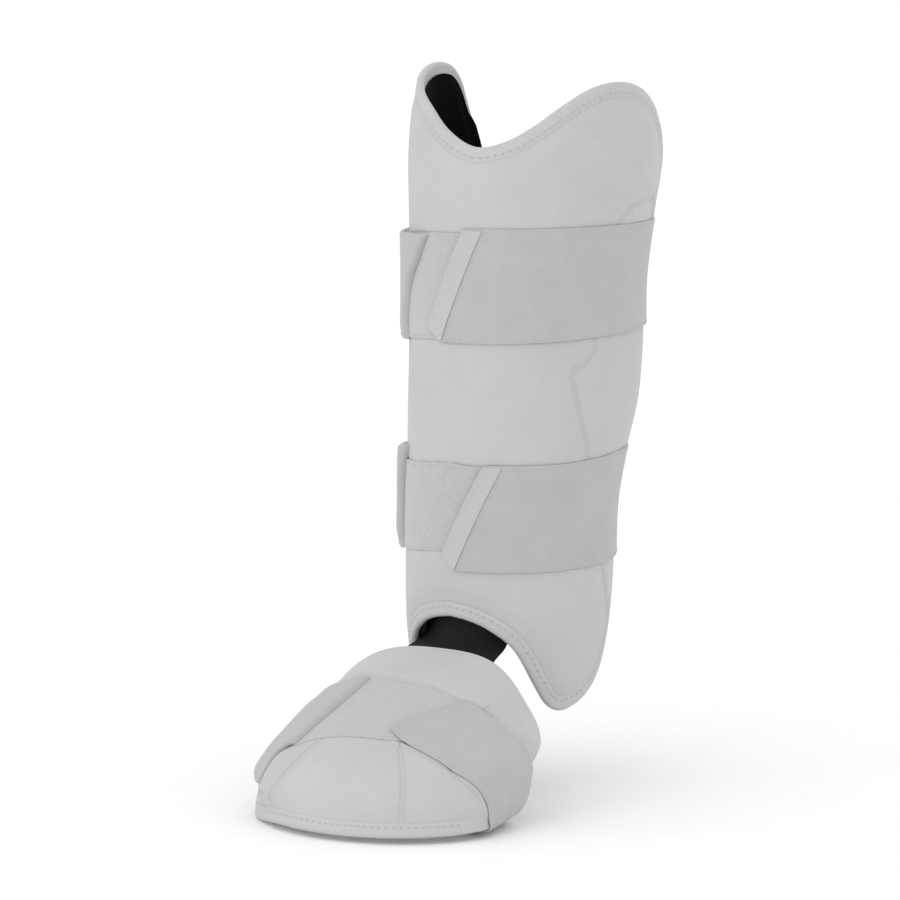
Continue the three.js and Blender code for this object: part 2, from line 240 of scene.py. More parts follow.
@dataclass(frozen=True)
class LineField:
    """A drawn line in space that places can be measured from."""

    points: Array
    chunk: int = 1500

    def measure(self, places: Array) -> tuple[Array, Array, Array]:
        """Nearest place of the line for each place.

        Args:
            places: Points in any grid, with 3 numbers along the last axis.

        Returns:
            Distances, lengths along the line, and the line's directions there.
        """
        start = self.points[:-1]
        run = np.diff(self.points, axis=0)
        size = np.maximum((run**2).sum(-1), TINY)
        before = np.concatenate([[0], np.cumsum(np.sqrt(size))])[:-1]
        flat = places.reshape(-1, 3)
        parts = []
        for first in range(0, len(flat), self.chunk):
            offset = flat[first : first + self.chunk, None] - start
            share = np.clip((offset * run).sum(-1) / size, 0, 1)
            gap = np.linalg.norm(offset - share[..., None] * run, axis=-1)
            best = gap.argmin(axis=1)
            rows = np.arange(len(best))
            along = before[best] + share[rows, best] * np.sqrt(size[best])
            parts.append(np.column_stack([gap[rows, best], along, run[best]]))
        whole = np.concatenate(parts).reshape(*places.shape[:-1], 5)
        return whole[..., 0], whole[..., 1], unit(whole[..., 2:])

    def signed(self, places: Array, normals: Array) -> Array:
        """Distances with a sign that tells the line's two sides apart."""
        distance, along, heading = self.measure(places)
        nearest = self.read(self.points, along)
        side = (np.cross(heading, places - nearest) * normals).sum(-1)
        return np.where(side < 0, -distance, distance)

    def read(self, values: Array, marks: Array) -> Array:
        """Three numbers given at each point of the line, at lengths along it."""
        return np.stack([np.interp(marks, self.lengths(), values[:, k]) for k in range(3)], -1)

    def lengths(self) -> Array:
        """Length of the line up to each of its points."""
        return np.concatenate([[0], np.cumsum(np.linalg.norm(np.diff(self.points, axis=0), axis=-1))])


@dataclass(frozen=True)
class Skin:
    """The outer face of a piece: its grid of points, their normals and their distances from its edge."""

    points: Array
    normals: Array
    edge: Array

    def inset_line(self, side: Side, inset: float) -> tuple[Array, Array]:
        """Line that runs along a side at a distance from the edge.

        Args:
            side: Side of the grid that the line follows.
            inset: Distance from the piece's edge.

        Returns:
            Points and normals along the line.
        """
        points, normals, edge = self.points, self.normals, self.edge
        if side in (Side.START, Side.FINISH):
            points, normals, edge = points.swapaxes(0, 1), normals.swapaxes(0, 1), edge.T
        if side in (Side.HIGH, Side.FINISH):
            points, normals, edge = points[:, ::-1], normals[:, ::-1], edge[:, ::-1]
        half = edge.shape[1] // 2
        reached = edge[:, :half] >= inset
        found = np.flatnonzero(reached.any(axis=1))
        after = reached.argmax(axis=1)[found]
        low, high = edge[found, after - 1], edge[found, after]
        share = ((inset - low) / np.maximum(high - low, 1e-9))[:, None]
        line = blend(points[found, after - 1], points[found, after], share)
        return line, unit(blend(normals[found, after - 1], normals[found, after], share))


class Link:
    """An output of a shader node that takes part in Python arithmetic."""

    def __init__(self, tree: "ShaderTree", socket: bpy.types.NodeSocket) -> None:
        """Keeps the tree and the socket."""
        self.tree = tree
        self.socket = socket

    def math(self, operation: str, *others: Any, flip: bool = False) -> "Link":
        """Math node on this value and others.

        Args:
            operation: Blender's name of the operation.
            others: Values or links that follow this one.
            flip: True to put this value last.

        Returns:
            The node's value.
        """
        values = [*others, self] if flip else [self, *others]
        return self.tree.node("ShaderNodeMath", {"operation": operation}, dict(enumerate(values)))

    def __add__(self, other: Any) -> "Link":
        """Sum."""
        return self.math("ADD", other)

    def __sub__(self, other: Any) -> "Link":
        """Difference."""
        return self.math("SUBTRACT", other)

    def __rsub__(self, other: Any) -> "Link":
        """Difference from a number."""
        return self.math("SUBTRACT", other, flip=True)

    def __mul__(self, other: Any) -> "Link":
        """Product."""
        return self.math("MULTIPLY", other)

    def __truediv__(self, other: Any) -> "Link":
        """Quotient."""
        return self.math("DIVIDE", other)

    def __pow__(self, other: Any) -> "Link":
        """Power."""
        return self.math("POWER", other)

    def __abs__(self) -> "Link":
        """Size without its sign."""
        return self.math("ABSOLUTE")

    __radd__ = __add__
    __rmul__ = __mul__

    def wave(self) -> "Link":
        """Sine of this value as turns, from 0 to 1."""
        return (self * math.tau).math("SINE") * 0.5 + 0.5

    def fraction(self) -> "Link":
        """What is left over a whole number."""
        return self.math("FRACT")

    def ramp(self, low: float, high: float) -> "Link":
        """Smooth rise from 0 at low to 1 at high, or a fall where high is lower."""
        settings = {"interpolation_type": "SMOOTHSTEP", "clamp": True}
        flipped = low > high
        marks = {"Value": self, "From Min": min(low, high), "From Max": max(low, high)}
        risen = self.tree.node("ShaderNodeMapRange", settings, marks)
        return 1 - risen if flipped else risen


class ShaderTree:
    """A new material and the nodes that lead to its surface."""

    def __init__(self, name: str) -> None:
        """Makes the material with its own surface shader."""
        self.material = bpy.data.materials.new(name)
        self.material.use_nodes = True
        self.nodes = self.material.node_tree.nodes
        self.links = self.material.node_tree.links
        self.surface = self.nodes["Principled BSDF"]

    def node(self, kind: str, settings: dict, sockets: dict, output: int | str = 0) -> Link:
        """Adds a node.

        Args:
            kind: Blender's type of node.
            settings: Its own options, set first.
            sockets: Values or links of its inputs, by identifier, name or place.
            output: Name or place of the output to use.

        Returns:
            The output's link.
        """
        node = self.nodes.new(kind)
        for key, value in settings.items():
            setattr(node, key, value)
        for key, value in sockets.items():
            self.feed(node, key, value)
        return Link(self, node.outputs[output])

    def feed(self, node: bpy.types.Node, key: int | str, value: Any) -> None:
        """Sets an input of a node to a value, or links it."""
        named = {socket.identifier: socket for socket in node.inputs}
        socket = named[key] if key in named else node.inputs[key]
        if isinstance(value, Link):
            self.links.new(value.socket, socket)
        else:
            socket.default_value = value

    def place(self) -> Link:
        """Position on the piece, in metres."""
        return self.node("ShaderNodeTexCoord", {}, {}, "Object")

    def map_axes(self, name: str) -> tuple[Link, Link]:
        """The two numbers of one of the piece's own maps, in metres."""
        spot = self.node("ShaderNodeUVMap", {"uv_map": name}, {})
        axes = self.nodes.new("ShaderNodeSeparateXYZ")
        self.feed(axes, "Vector", spot)
        return Link(self, axes.outputs["X"]), Link(self, axes.outputs["Y"])

    def noise(self, place: Link, size: float, detail: float = 2.0) -> Link:
        """Soft noise from 0 to 1 whose lumps are about a size across, in millimetres."""
        sockets = {"Vector": place, "Scale": 1 / (size * MM), "Detail": detail}
        return self.node("ShaderNodeTexNoise", {}, sockets, "Fac")

    def cells(self, place: Link, size: float, feature: str = "F1") -> Link:
        """Distance field of cells about a size across, in millimetres."""
        sockets = {"Vector": place, "Scale": 1 / (size * MM)}
        return self.node("ShaderNodeTexVoronoi", {"feature": feature}, sockets, "Distance")

    def mix(self, factor: Link, low: Any, high: Any) -> Link:
        """Colour between two colours."""
        settings = {"data_type": "RGBA"}
        sockets = {"Factor_Float": factor, "A_Color": low, "B_Color": high}
        return self.node("ShaderNodeMix", settings, sockets, 2)

    def bump(self, height: Link, depth: float, strength: float = 1.0) -> Link:
        """Normal of a surface raised by a height from 0 to 1, of a depth in millimetres."""
        sockets = {"Height": height, "Distance": depth * MM, "Strength": strength}
        return self.node("ShaderNodeBump", {}, sockets, "Normal")

    def finish(self, sockets: dict) -> bpy.types.Material:
        """Sets the surface shader's own inputs and returns the material."""
        for key, value in sockets.items():
            self.feed(self.surface, key, value)
        return self.material


@dataclass(frozen=True)
class Leather:
    """Matt synthetic leather with a fine grain, needle holes along its hem and moulded lines; painted shade
    darkens the holes, the hem crease and the moulded lines in its colour.
    """

    name: str = "grey_leather"
    shade: Colour = grey(0.46)
    light: Colour = grey(0.506)
    # hole is the painted shade colour that darkens the needle holes, the hem crease and the moulded lines
    hole: Colour = grey(0.2)
    grain: float = 0.8
    grain_depth: float = 0.06
    cloud: float = 38
    stitch_inset: float = HEM_STITCH_INSET
    stitch_pitch: float = 4.0
    crease_inset: float = HEM_CREASE_INSET
    mould_half: float = 1.1
    line_depth: float = 0.5
    roughness: Span = (0.5, 0.66)
    specular: float = 0.32

    def material(self) -> bpy.types.Material:
        """Builds the material.

        Returns:
            The material.
        """
        tree = ShaderTree(self.name)
        place = tree.place()
        along, edge = tree.map_axes(SEAM_MAP)
        grooves = tree.map_axes(MOULD_MAP)
        hemmed, moulded = [fade / MM for fade in tree.map_axes(FADE_MAP)]
        pebbles = tree.cells(place, self.grain).ramp(0.75, 0.1)
        pores = tree.noise(place, self.grain * 0.45, 3)
        clouds = tree.noise(place, self.cloud, 3)
        step = ((along / (self.stitch_pitch * MM)).fraction() - 0.5) * (self.stitch_pitch * MM)
        row = edge - self.stitch_inset * MM
        # needle-hole mask: dents the bump and puts painted shade into the colour
        hole = ((step * step + row * row) ** 0.5).ramp(0.75 * MM, 0.25 * MM) * hemmed
        crease = abs(edge - self.crease_inset * MM).ramp(0.9 * MM, 0.0) * hemmed
        pair = [abs(abs(groove) - self.mould_half * MM).ramp(0.8 * MM, 0.1 * MM) for groove in grooves]
        mould = pair[0].math("MAXIMUM", pair[1]) * moulded
        lines = crease * 0.4 + mould * 0.5
        tone = tree.mix((clouds * 0.75 + pebbles * 0.25).ramp(0.2, 0.8), self.shade, self.light)
        # painted shade: darker colour along the hem crease and the moulded lines
        crease_shaded = tree.mix(lines * 0.2, tone, self.hole)
        # painted shade: darker colour in the needle holes
        colour = tree.mix(hole * 0.3, crease_shaded, self.hole)
        grain = tree.bump(pebbles * 0.6 + pores * 0.4, self.grain_depth)
        height = 1 - lines * 0.7 - hole * 0.4
        sockets = {"Height": height, "Distance": self.line_depth * MM, "Strength": 1.0, "Normal": grain}
        normal = tree.node("ShaderNodeBump", {}, sockets, "Normal")
        surface = {
            "Base Color": colour,
            "Roughness": blend(*self.roughness, pores),
            "Normal": normal,
            "Specular IOR Level": self.specular,
        }
        return tree.finish(surface)


@dataclass(frozen=True)
class Webbing:
    """Twill-woven polyester band."""

    name: str = "grey_webbing"
    shade: Colour = grey(0.385)
    light: Colour = grey(0.46)
    thread: float = 0.62
    sway: float = 4
    fuzz: float = 0.7
    cloud: float = 16
    depth: float = 0.13
    roughness: Span = (0.72, 0.88)
    specular: float = 0.25
    sheen: float = 0.12
    sheen_roughness: float = 0.6

    def material(self) -> bpy.types.Material:
        """Builds the material.

        Returns:
            The material.
        """
        tree = ShaderTree(self.name)
        place = tree.place()
        along, across = tree.map_axes(CLOTH_MAP)
        pitch = self.thread * MM
        sway = tree.noise(place, self.sway, 3)
        warp = across / pitch + sway * 1.6
        weft = along / pitch - sway * 1.2
        twill = ((warp + weft) * 0.5).wave()
        ribs = warp.wave() * 0.5 + weft.wave() * 0.5
        fuzz = tree.noise(place, self.fuzz, 3)
        clouds = tree.noise(place, self.cloud, 3)
        height = twill * 0.4 + ribs * 0.25 + fuzz * 0.35
        factor = height * 0.55 + clouds * 0.45
        colour = tree.mix(factor.ramp(0.1, 0.9), self.shade, self.light)
        normal = tree.bump(height, self.depth)
        surface = {
            "Base Color": colour,
            "Roughness": blend(*self.roughness, fuzz),
            "Normal": normal,
            "Specular IOR Level": self.specular,
            "Sheen Weight": self.sheen,
            "Sheen Roughness": self.sheen_roughness,
        }
        return tree.finish(surface)


@dataclass(frozen=True)
class Pile:
    """Brushed loop pile that hook tape holds to."""

    name: str = "brushed_pile"
    shade: Colour = grey(0.385)
    light: Colour = grey(0.465)
    loop: float = 1.1
    tuft: float = 2.6
    depth: float = 0.28
    roughness: Span = (0.9, 1.0)
    specular: float = 0.12
    sheen: float = 0.3
    sheen_roughness: float = 0.7

    def material(self) -> bpy.types.Material:
        """Builds the material.

        Returns:
            The material.
        """
        tree = ShaderTree(self.name)
        place = tree.place()
        loops = tree.cells(place, self.loop).ramp(0.85, 0.05)
        fibres = tree.noise(place, self.loop * 0.4, 4)
        tufts = tree.noise(place, self.tuft, 4)
        height = loops * 0.3 + fibres * 0.35 + tufts * 0.35
        colour = tree.mix(height.ramp(0.15, 0.85), self.shade, self.light)
        normal = tree.bump(height, self.depth)
        surface = {
            "Base Color": colour,
            "Roughness": blend(*self.roughness, fibres),
            "Normal": normal,
            "Specular IOR Level": self.specular,
            "Sheen Weight": self.sheen,
            "Sheen Roughness": self.sheen_roughness,
        }
        return tree.finish(surface)


@dataclass(frozen=True)
class LabelTape:
    """Smooth ribbed tape."""

    name: str = "bare_tape"
    shade: Colour = grey(0.455)
    light: Colour = grey(0.505)
    rib: float = 0.55
    slub: float = 2.5
    depth: float = 0.1
    roughness: Span = (0.5, 0.62)
    specular: float = 0.35

    def material(self) -> bpy.types.Material:
        """Builds the material.

        Returns:
            The material.
        """
        tree = ShaderTree(self.name)
        along, across = tree.map_axes(CLOTH_MAP)
        place = tree.place()
        ribs = (across / (self.rib * MM)).wave()
        threads = (along / (self.rib * 0.8 * MM)).wave()
        slubs = tree.noise(place, self.slub, 3)
        height = ribs * 0.6 + threads * 0.25 + slubs * 0.15
        colour = tree.mix((height * 0.5 + slubs * 0.5).ramp(0.15, 0.85), self.shade, self.light)
        normal = tree.bump(height, self.depth)
        surface = {
            "Base Color": colour,
            "Roughness": blend(*self.roughness, slubs),
            "Normal": normal,
            "Specular IOR Level": self.specular,
        }
        return tree.finish(surface)


@dataclass(frozen=True)
class KnitMesh:
    """Black warp-knit mesh with small holes in rows."""

    name: str = "black_mesh"
    shade: Colour = (0.0008, 0.0007, 0.0006, 1.0)
    light: Colour = (0.003, 0.0022, 0.0019, 1.0)
    hole: float = 2.2
    fibre: float = 0.7
    depth: float = 0.35
    roughness: Span = (0.8, 0.95)
    specular: float = 0.035

    def material(self) -> bpy.types.Material:
        """Builds the material.

        Returns:
            The material.
        """
        tree = ShaderTree(self.name)
        along, across = tree.map_axes(CLOTH_MAP)
        place = tree.place()
        rows = (across / (self.hole * 0.8 * MM)).wave()
        brick = (across / (self.hole * 1.6 * MM)).fraction().ramp(0.45, 0.55)
        columns = (along / (self.hole * MM) + brick * 0.5).wave()
        fibre = tree.noise(place, self.fibre, 2)
        net = (1 - rows * columns).ramp(0.25, 0.75)
        height = net * 0.8 + fibre * 0.2
        colour = tree.mix(height.ramp(0.1, 0.9), self.shade, self.light)
        normal = tree.bump(height, self.depth)
        surface = {
            "Base Color": colour,
            "Roughness": blend(*self.roughness, fibre),
            "Normal": normal,
            "Specular IOR Level": self.specular,
        }
        return tree.finish(surface)


@dataclass(frozen=True)
class Elastic:
    """Black woven elastic with fine ribs across it."""

    name: str = "black_elastic"
    shade: Colour = (0.004, 0.004, 0.004, 1.0)
    light: Colour = (0.014, 0.014, 0.014, 1.0)
    rib: float = 1.1
    fibre: float = 0.5
    depth: float = 0.2
    roughness: Span = (0.7, 0.86)
    specular: float = 0.22

    def material(self) -> bpy.types.Material:
        """Builds the material.

        Returns:
            The material.
        """
        tree = ShaderTree(self.name)
        along, across = tree.map_axes(CLOTH_MAP)
        place = tree.place()
        ribs = (across / (self.rib * MM)).wave()
        threads = (along / (self.rib * 0.55 * MM)).wave()
        fibre = tree.noise(place, self.fibre, 2)
        height = ribs * 0.5 + threads * 0.3 + fibre * 0.2
        colour = tree.mix(height.ramp(0.15, 0.85), self.shade, self.light)
        normal = tree.bump(height, self.depth)
        surface = {
            "Base Color": colour,
            "Roughness": blend(*self.roughness, fibre),
            "Normal": normal,
            "Specular IOR Level": self.specular,
        }
        return tree.finish(surface)


@dataclass(frozen=True)
class Thread:
    """Twisted sewing thread."""

    name: str = "grey_thread"
    shade: Colour = grey(0.45)
    light: Colour = grey(0.56)
    twist: float = 0.35
    depth: float = 0.1
    roughness: Span = (0.5, 0.7)

    def material(self) -> bpy.types.Material:
        """Builds the material.

        Returns:
            The material.
        """
        tree = ShaderTree(self.name)
        place = tree.place()
        twist = tree.noise(place, self.twist, 1)
        colour = tree.mix(twist.ramp(0.25, 0.75), self.shade, self.light)
        normal = tree.bump(twist, self.depth)
        roughness = blend(*self.roughness, twist)
        return tree.finish({"Base Color": colour, "Roughness": roughness, "Normal": normal})


PALE_THREAD = Thread("pale_thread", grey(0.47), grey(0.58))


@dataclass(frozen=True)
class PaleFloor:
    """Plain pale paper."""

    name: str = "pale_floor"
    shade: Colour = grey(0.9)
    light: Colour = grey(0.94)
    cloud: float = 60
    roughness: float = 0.9
    specular: float = 0.1

    def material(self) -> bpy.types.Material:
        """Builds the material.

        Returns:
            The material.
        """
        tree = ShaderTree(self.name)
        clouds = tree.noise(tree.place(), self.cloud, 2)
        colour = tree.mix(clouds, self.shade, self.light)
        surface = {
            "Base Color": colour,
            "Roughness": self.roughness,
            "Specular IOR Level": self.specular,
        }
        return tree.finish(surface)


def add_piece(
    name: str, points: Array, faces: Array, maps: dict[str, Array], finish: Any
) -> bpy.types.Object:
    """Adds a mesh that rides on the guard.

    Args:
        name: Name of the piece.
        points: Vertices in millimetres.
        faces: Rows of vertex numbers.
        maps: Two numbers in millimetres for each vertex, by the map's name.
        finish: Finish that gives the material.

    Returns:
        The new object.
    """
    mesh = bpy.data.meshes.new(name)
    mesh.from_pydata((points * MM).tolist(), [], faces.tolist())
    corners = np.empty(len(mesh.loops), np.int32)
    mesh.loops.foreach_get("vertex_index", corners)
    for key, values in maps.items():
        layer = mesh.uv_layers.new(name=key)
        layer.data.foreach_set("uv", (values[corners] * MM).astype(np.float32).ravel())
    mesh.shade_smooth()
    mesh.materials.append(bpy.data.materials.get(finish.name) or finish.material())
    piece = bpy.data.objects.new(name, mesh)
    bpy.context.scene.collection.objects.link(piece)
    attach(piece, ROOT)
    LOG.info("%s: %d faces", name, len(mesh.polygons))
    return piece


def closed_grid(outer: Array, inner: Array) -> tuple[Array, Array, Array]:
    """Closed skin of two grids that meet along their edge.

    Args:
        outer: Outer face, columns by rows by 3.
        inner: Inner face in the same places, with the same edge.

    Returns:
        Vertices, faces, and for each vertex its number in the two grids laid end to end.
    """
    columns, rows = outer.shape[:2]
    count = columns * rows
    front = np.arange(count).reshape(columns, rows)
    back = front.copy()
    inside = (columns - 2) * (rows - 2)
    back[1:-1, 1:-1] = count + np.arange(inside).reshape(columns - 2, rows - 2)
    facing = np.stack([front[:-1, :-1], front[1:, :-1], front[1:, 1:], front[:-1, 1:]], -1).reshape(-1, 4)
    behind = np.stack([back[:-1, :-1], back[:-1, 1:], back[1:, 1:], back[1:, :-1]], -1).reshape(-1, 4)
    source = np.concatenate([front.ravel(), count + front[1:-1, 1:-1].ravel()])
    points = np.concatenate([outer.reshape(-1, 3), inner.reshape(-1, 3)])[source]
    return points, np.concatenate([facing, behind]), source


def both_sides(first: Array, second: Array, source: Array, hidden: tuple[float, float]) -> Array:
    """A map's two numbers for the vertices of a closed skin.

    Args:
        first: First number over the outer face.
        second: Second number over the outer face.
        source: Each vertex's number in the outer and inner grids laid end to end.
        hidden: The two numbers of the whole inner face.

    Returns:
        Two numbers for each vertex.
    """
    shown = np.stack([first, second], -1).reshape(-1, 2)
    return np.concatenate([shown, np.broadcast_to(hidden, shown.shape)])[source]


def stand_in(node: str) -> None:
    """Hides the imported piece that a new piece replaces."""
    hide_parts(node)


@dataclass(frozen=True)
class SoftSheet:
    """A cloth sheet with rounded edges, given by its middle surface and its thickness there."""

    middle: Array
    thickness: float | Array
    edge_insets: ClassVar[tuple[float, ...]] = (0.0, 0.06, 0.25, 0.6, 1.1)
    end_insets: ClassVar[tuple[float, ...]] = (*edge_insets, 1.8, 2.6, 3.5)

    def edge(self) -> Array:
        """Distance of each place from the nearest edge."""
        along = run_lengths(self.middle, 0)
        across = run_lengths(self.middle, 1)
        ends = np.minimum(along, along[-1:] - along)
        return np.minimum(ends, np.minimum(across, across[:, -1:] - across))

    def faces(self) -> tuple[Array, Array]:
        """Outer and inner faces."""
        half = np.asarray(self.thickness) / 2
        raised = (half * rounded(self.edge(), half))[..., None] * surface_normals(self.middle)
        return self.middle + raised, self.middle - raised

    def cloth(self) -> Array:
        """Lengths along and across the cloth at each place."""
        return np.stack([run_lengths(self.middle, 0), run_lengths(self.middle, 1)], -1)

    def skin(self) -> Skin:
        """The outer face for stitching."""
        outer, _ = self.faces()
        return Skin(outer, surface_normals(self.middle), self.edge())

    def add(self, name: str, cloth: Array, finish: Any) -> bpy.types.Object:
        """Adds the sheet as a piece.

        Args:
            name: Name of the piece.
            cloth: Lengths along and across the cloth at each place.
            finish: Finish that gives the material.

        Returns:
            The new object.
        """
        points, faces, source = closed_grid(*self.faces())
        flat = np.concatenate([cloth.reshape(-1, 2)] * 2)[source]
        return add_piece(name, points, faces, {CLOTH_MAP: flat}, finish)


@dataclass(frozen=True)
class Stitch:
    """One kind of stitch in a row: its spacing, size and lean."""

    pitch: float = 4.0
    length: float = 2.5
    width: float = 0.5
    lean: float = 0.0
    zigzag: bool = False
    aim: float = 0.4
    sides: int = 6
    stations: tuple[tuple[float, float, float], ...] = (
        (-1.0, 0.3, -0.5),
        (-0.62, 0.85, 0.1),
        (0.0, 1.0, 0.3),
        (0.62, 0.85, 0.1),
        (1.0, 0.3, -0.5),
    )

    def row(self, line: Array, normals: Array) -> tuple[Array, Array]:
        """Stitches along a line.

        Args:
            line: Points of the line.
            normals: Surface normals at the points.

        Returns:
            Vertices and faces of all the stitches.
        """
        path = LineField(line)
        whole = path.lengths()[-1]
        count = max(int(whole / self.pitch), 1)
        marks = (np.arange(count) + 0.5) * whole / count
        spot = path.read(line, marks)
        up = unit(path.read(normals, marks))
        run = unit(path.read(line, marks + self.aim) - path.read(line, marks - self.aim))
        cross = np.cross(up, run)
        turn = np.radians(self.lean) * np.where(np.arange(count) % 2 & self.zigzag, -1, 1)
        heading = run * np.cos(turn)[:, None] + cross * np.sin(turn)[:, None]
        across = np.cross(up, heading)
        places, sizes, lifts = np.array(self.stations).T
        ring = np.linspace(0, math.tau, self.sides, endpoint=False)
        half = self.width / 2
        lengthwise = places[None, :, None, None] * self.length / 2 * heading[:, None, None]
        sideways = (sizes[:, None] * np.cos(ring))[None, ..., None] * half * across[:, None, None]
        height = sizes[:, None] * np.sin(ring) * half + lifts[:, None] * self.width
        points = spot[:, None, None] + lengthwise + sideways + height[None, ..., None] * up[:, None, None]
        return points.reshape(-1, 3), self.faces(count)

    def faces(self, count: int) -> Array:
        """Faces of a number of stitches."""
        rings = np.arange(len(self.stations) * self.sides).reshape(-1, self.sides)
        ahead = np.roll(rings, -1, axis=1)
        walls = np.stack([rings[:-1], ahead[:-1], ahead[1:], rings[1:]], -1).reshape(-1, 4)
        first, last = rings[0], rings[-1]
        caps = [first[[3, 2, 1, 0]], first[[5, 4, 3, 0]], last[[0, 1, 2, 3]], last[[0, 3, 4, 5]]]
        one = np.concatenate([walls, np.array(caps)])
        return (one + (np.arange(count) * rings.size)[:, None, None]).reshape(-1, 4)


@dataclass
class Stitching:
    """All the thread sewn into one piece."""

    name: str
    parts: list[tuple[Array, Array]] = field(default_factory=list)

    def sew(self, stitch: Stitch, line: Array, normals: Array) -> None:
        """Adds a row of stitches along a line."""
        self.parts.append(stitch.row(line, normals))

    def add(self, finish: Thread, slot: Slot) -> bpy.types.Object:
        """Adds the thread as a piece.

        Args:
            finish: Finish of the thread.
            slot: Slot of the piece that it is sewn into; not used.

        Returns:
            The new object.
        """
        starts = np.cumsum([0] + [len(points) for points, _ in self.parts])
        points = np.concatenate([points for points, _ in self.parts])
        faces = np.concatenate([faces + start for (_, faces), start in zip(self.parts, starts)])
        piece = add_piece(self.name, points, faces, {}, finish)
        return piece


@dataclass(frozen=True)
class ShinForm:
    """Outer face of the shin shell before padding: ellipses up the leg between two shaped edges."""

    sections: Table = Table(
        ("z", "half_width", "half_depth", "front_y"),
        (
            (-175, 54, 58.5, -11.5),
            (-130, 55, 59.5, -11.5),
            (-95, 56.6, 60.2, -11),
            (-56, 56.4, 62.2, -10.4),
            (-28, 58, 67, -10),
            (0, 60, 73, -9.5),
            (28, 60.5, 75, -8.5),
            (68, 61.4, 74.3, -6.3),
            (105, 64.5, 77, -4.5),
            (140, 68.2, 77.4, -0.5),
            (190, 66, 74, 7),
        ),
    )
    knee: Table = Table(
        ("angle", "z"),
        (
            (-126, 62),
            (-121, 106),
            (-115, 136),
            (-109, 160),
            (-104.5, 173),
            (-98, 181.5),
            (-90, 184.6),
            (-80, 184.2),
            (-68, 181),
            (-47, 174),
            (-28, 165.5),
            (-10, 152.5),
            (6, 145),
            (20, 148),
            (32, 155.5),
            (46, 167),
            (60, 176),
            (75, 179),
            (89, 176),
            (100, 168.5),
            (110, 157),
            (117, 140),
            (122, 113),
            (126, 65),
        ),
    )
    instep: Table = Table(
        ("angle", "z"),
        (
            (0, -111.5),
            (12, -113.4),
            (24, -117.8),
            (40, -129.4),
            (53, -150),
            (60, -160),
            (69, -164.5),
            (80, -162.5),
            (92, -157),
            (106, -146),
            (116, -132),
            (122, -112),
            (128, -70),
        ),
    )
    arch_centre: float = -2
    wing_angle: float = 126
    mean_radius: float = 66

    def point(self, angle: Any, z: Any, offset: Any) -> Array:
        """Points on the face, moved out by an offset.

        Args:
            angle: Angles round the leg.
            z: Heights.
            offset: Distances out of the face.

        Returns:
            Points.
        """
        turn = np.radians(angle)
        wide = self.sections.read("half_width", z)
        deep = self.sections.read("half_depth", z)
        front = self.sections.read("front_y", z)
        normal = unit(np.stack([np.sin(turn) / wide, -np.cos(turn) / deep], -1))
        x = wide * np.sin(turn) + offset * normal[..., 0]
        y = front + deep * (1 - np.cos(turn)) + offset * normal[..., 1]
        return np.stack([x, y, np.broadcast_to(z, x.shape)], -1)

    def cloth(self, angle: Array, across: Array) -> Array:
        """Lengths round the leg and across it of places on a band."""
        return np.stack([np.radians(angle) * self.mean_radius, across], -1)

    def edge_height(self, edge: Table, angle: Array) -> Array:
        """Height of the knee edge or the instep edge."""
        return edge.read("z", np.abs(angle - self.arch_centre) if edge is self.instep else angle)

    def steepness(self, edge: Table, angle: Array) -> Array:
        """How much longer an edge's slope makes a step up from it."""
        rise = self.edge_height(edge, angle + 1) - self.edge_height(edge, angle - 1)
        return np.hypot(1, rise / (math.radians(2) * self.mean_radius))


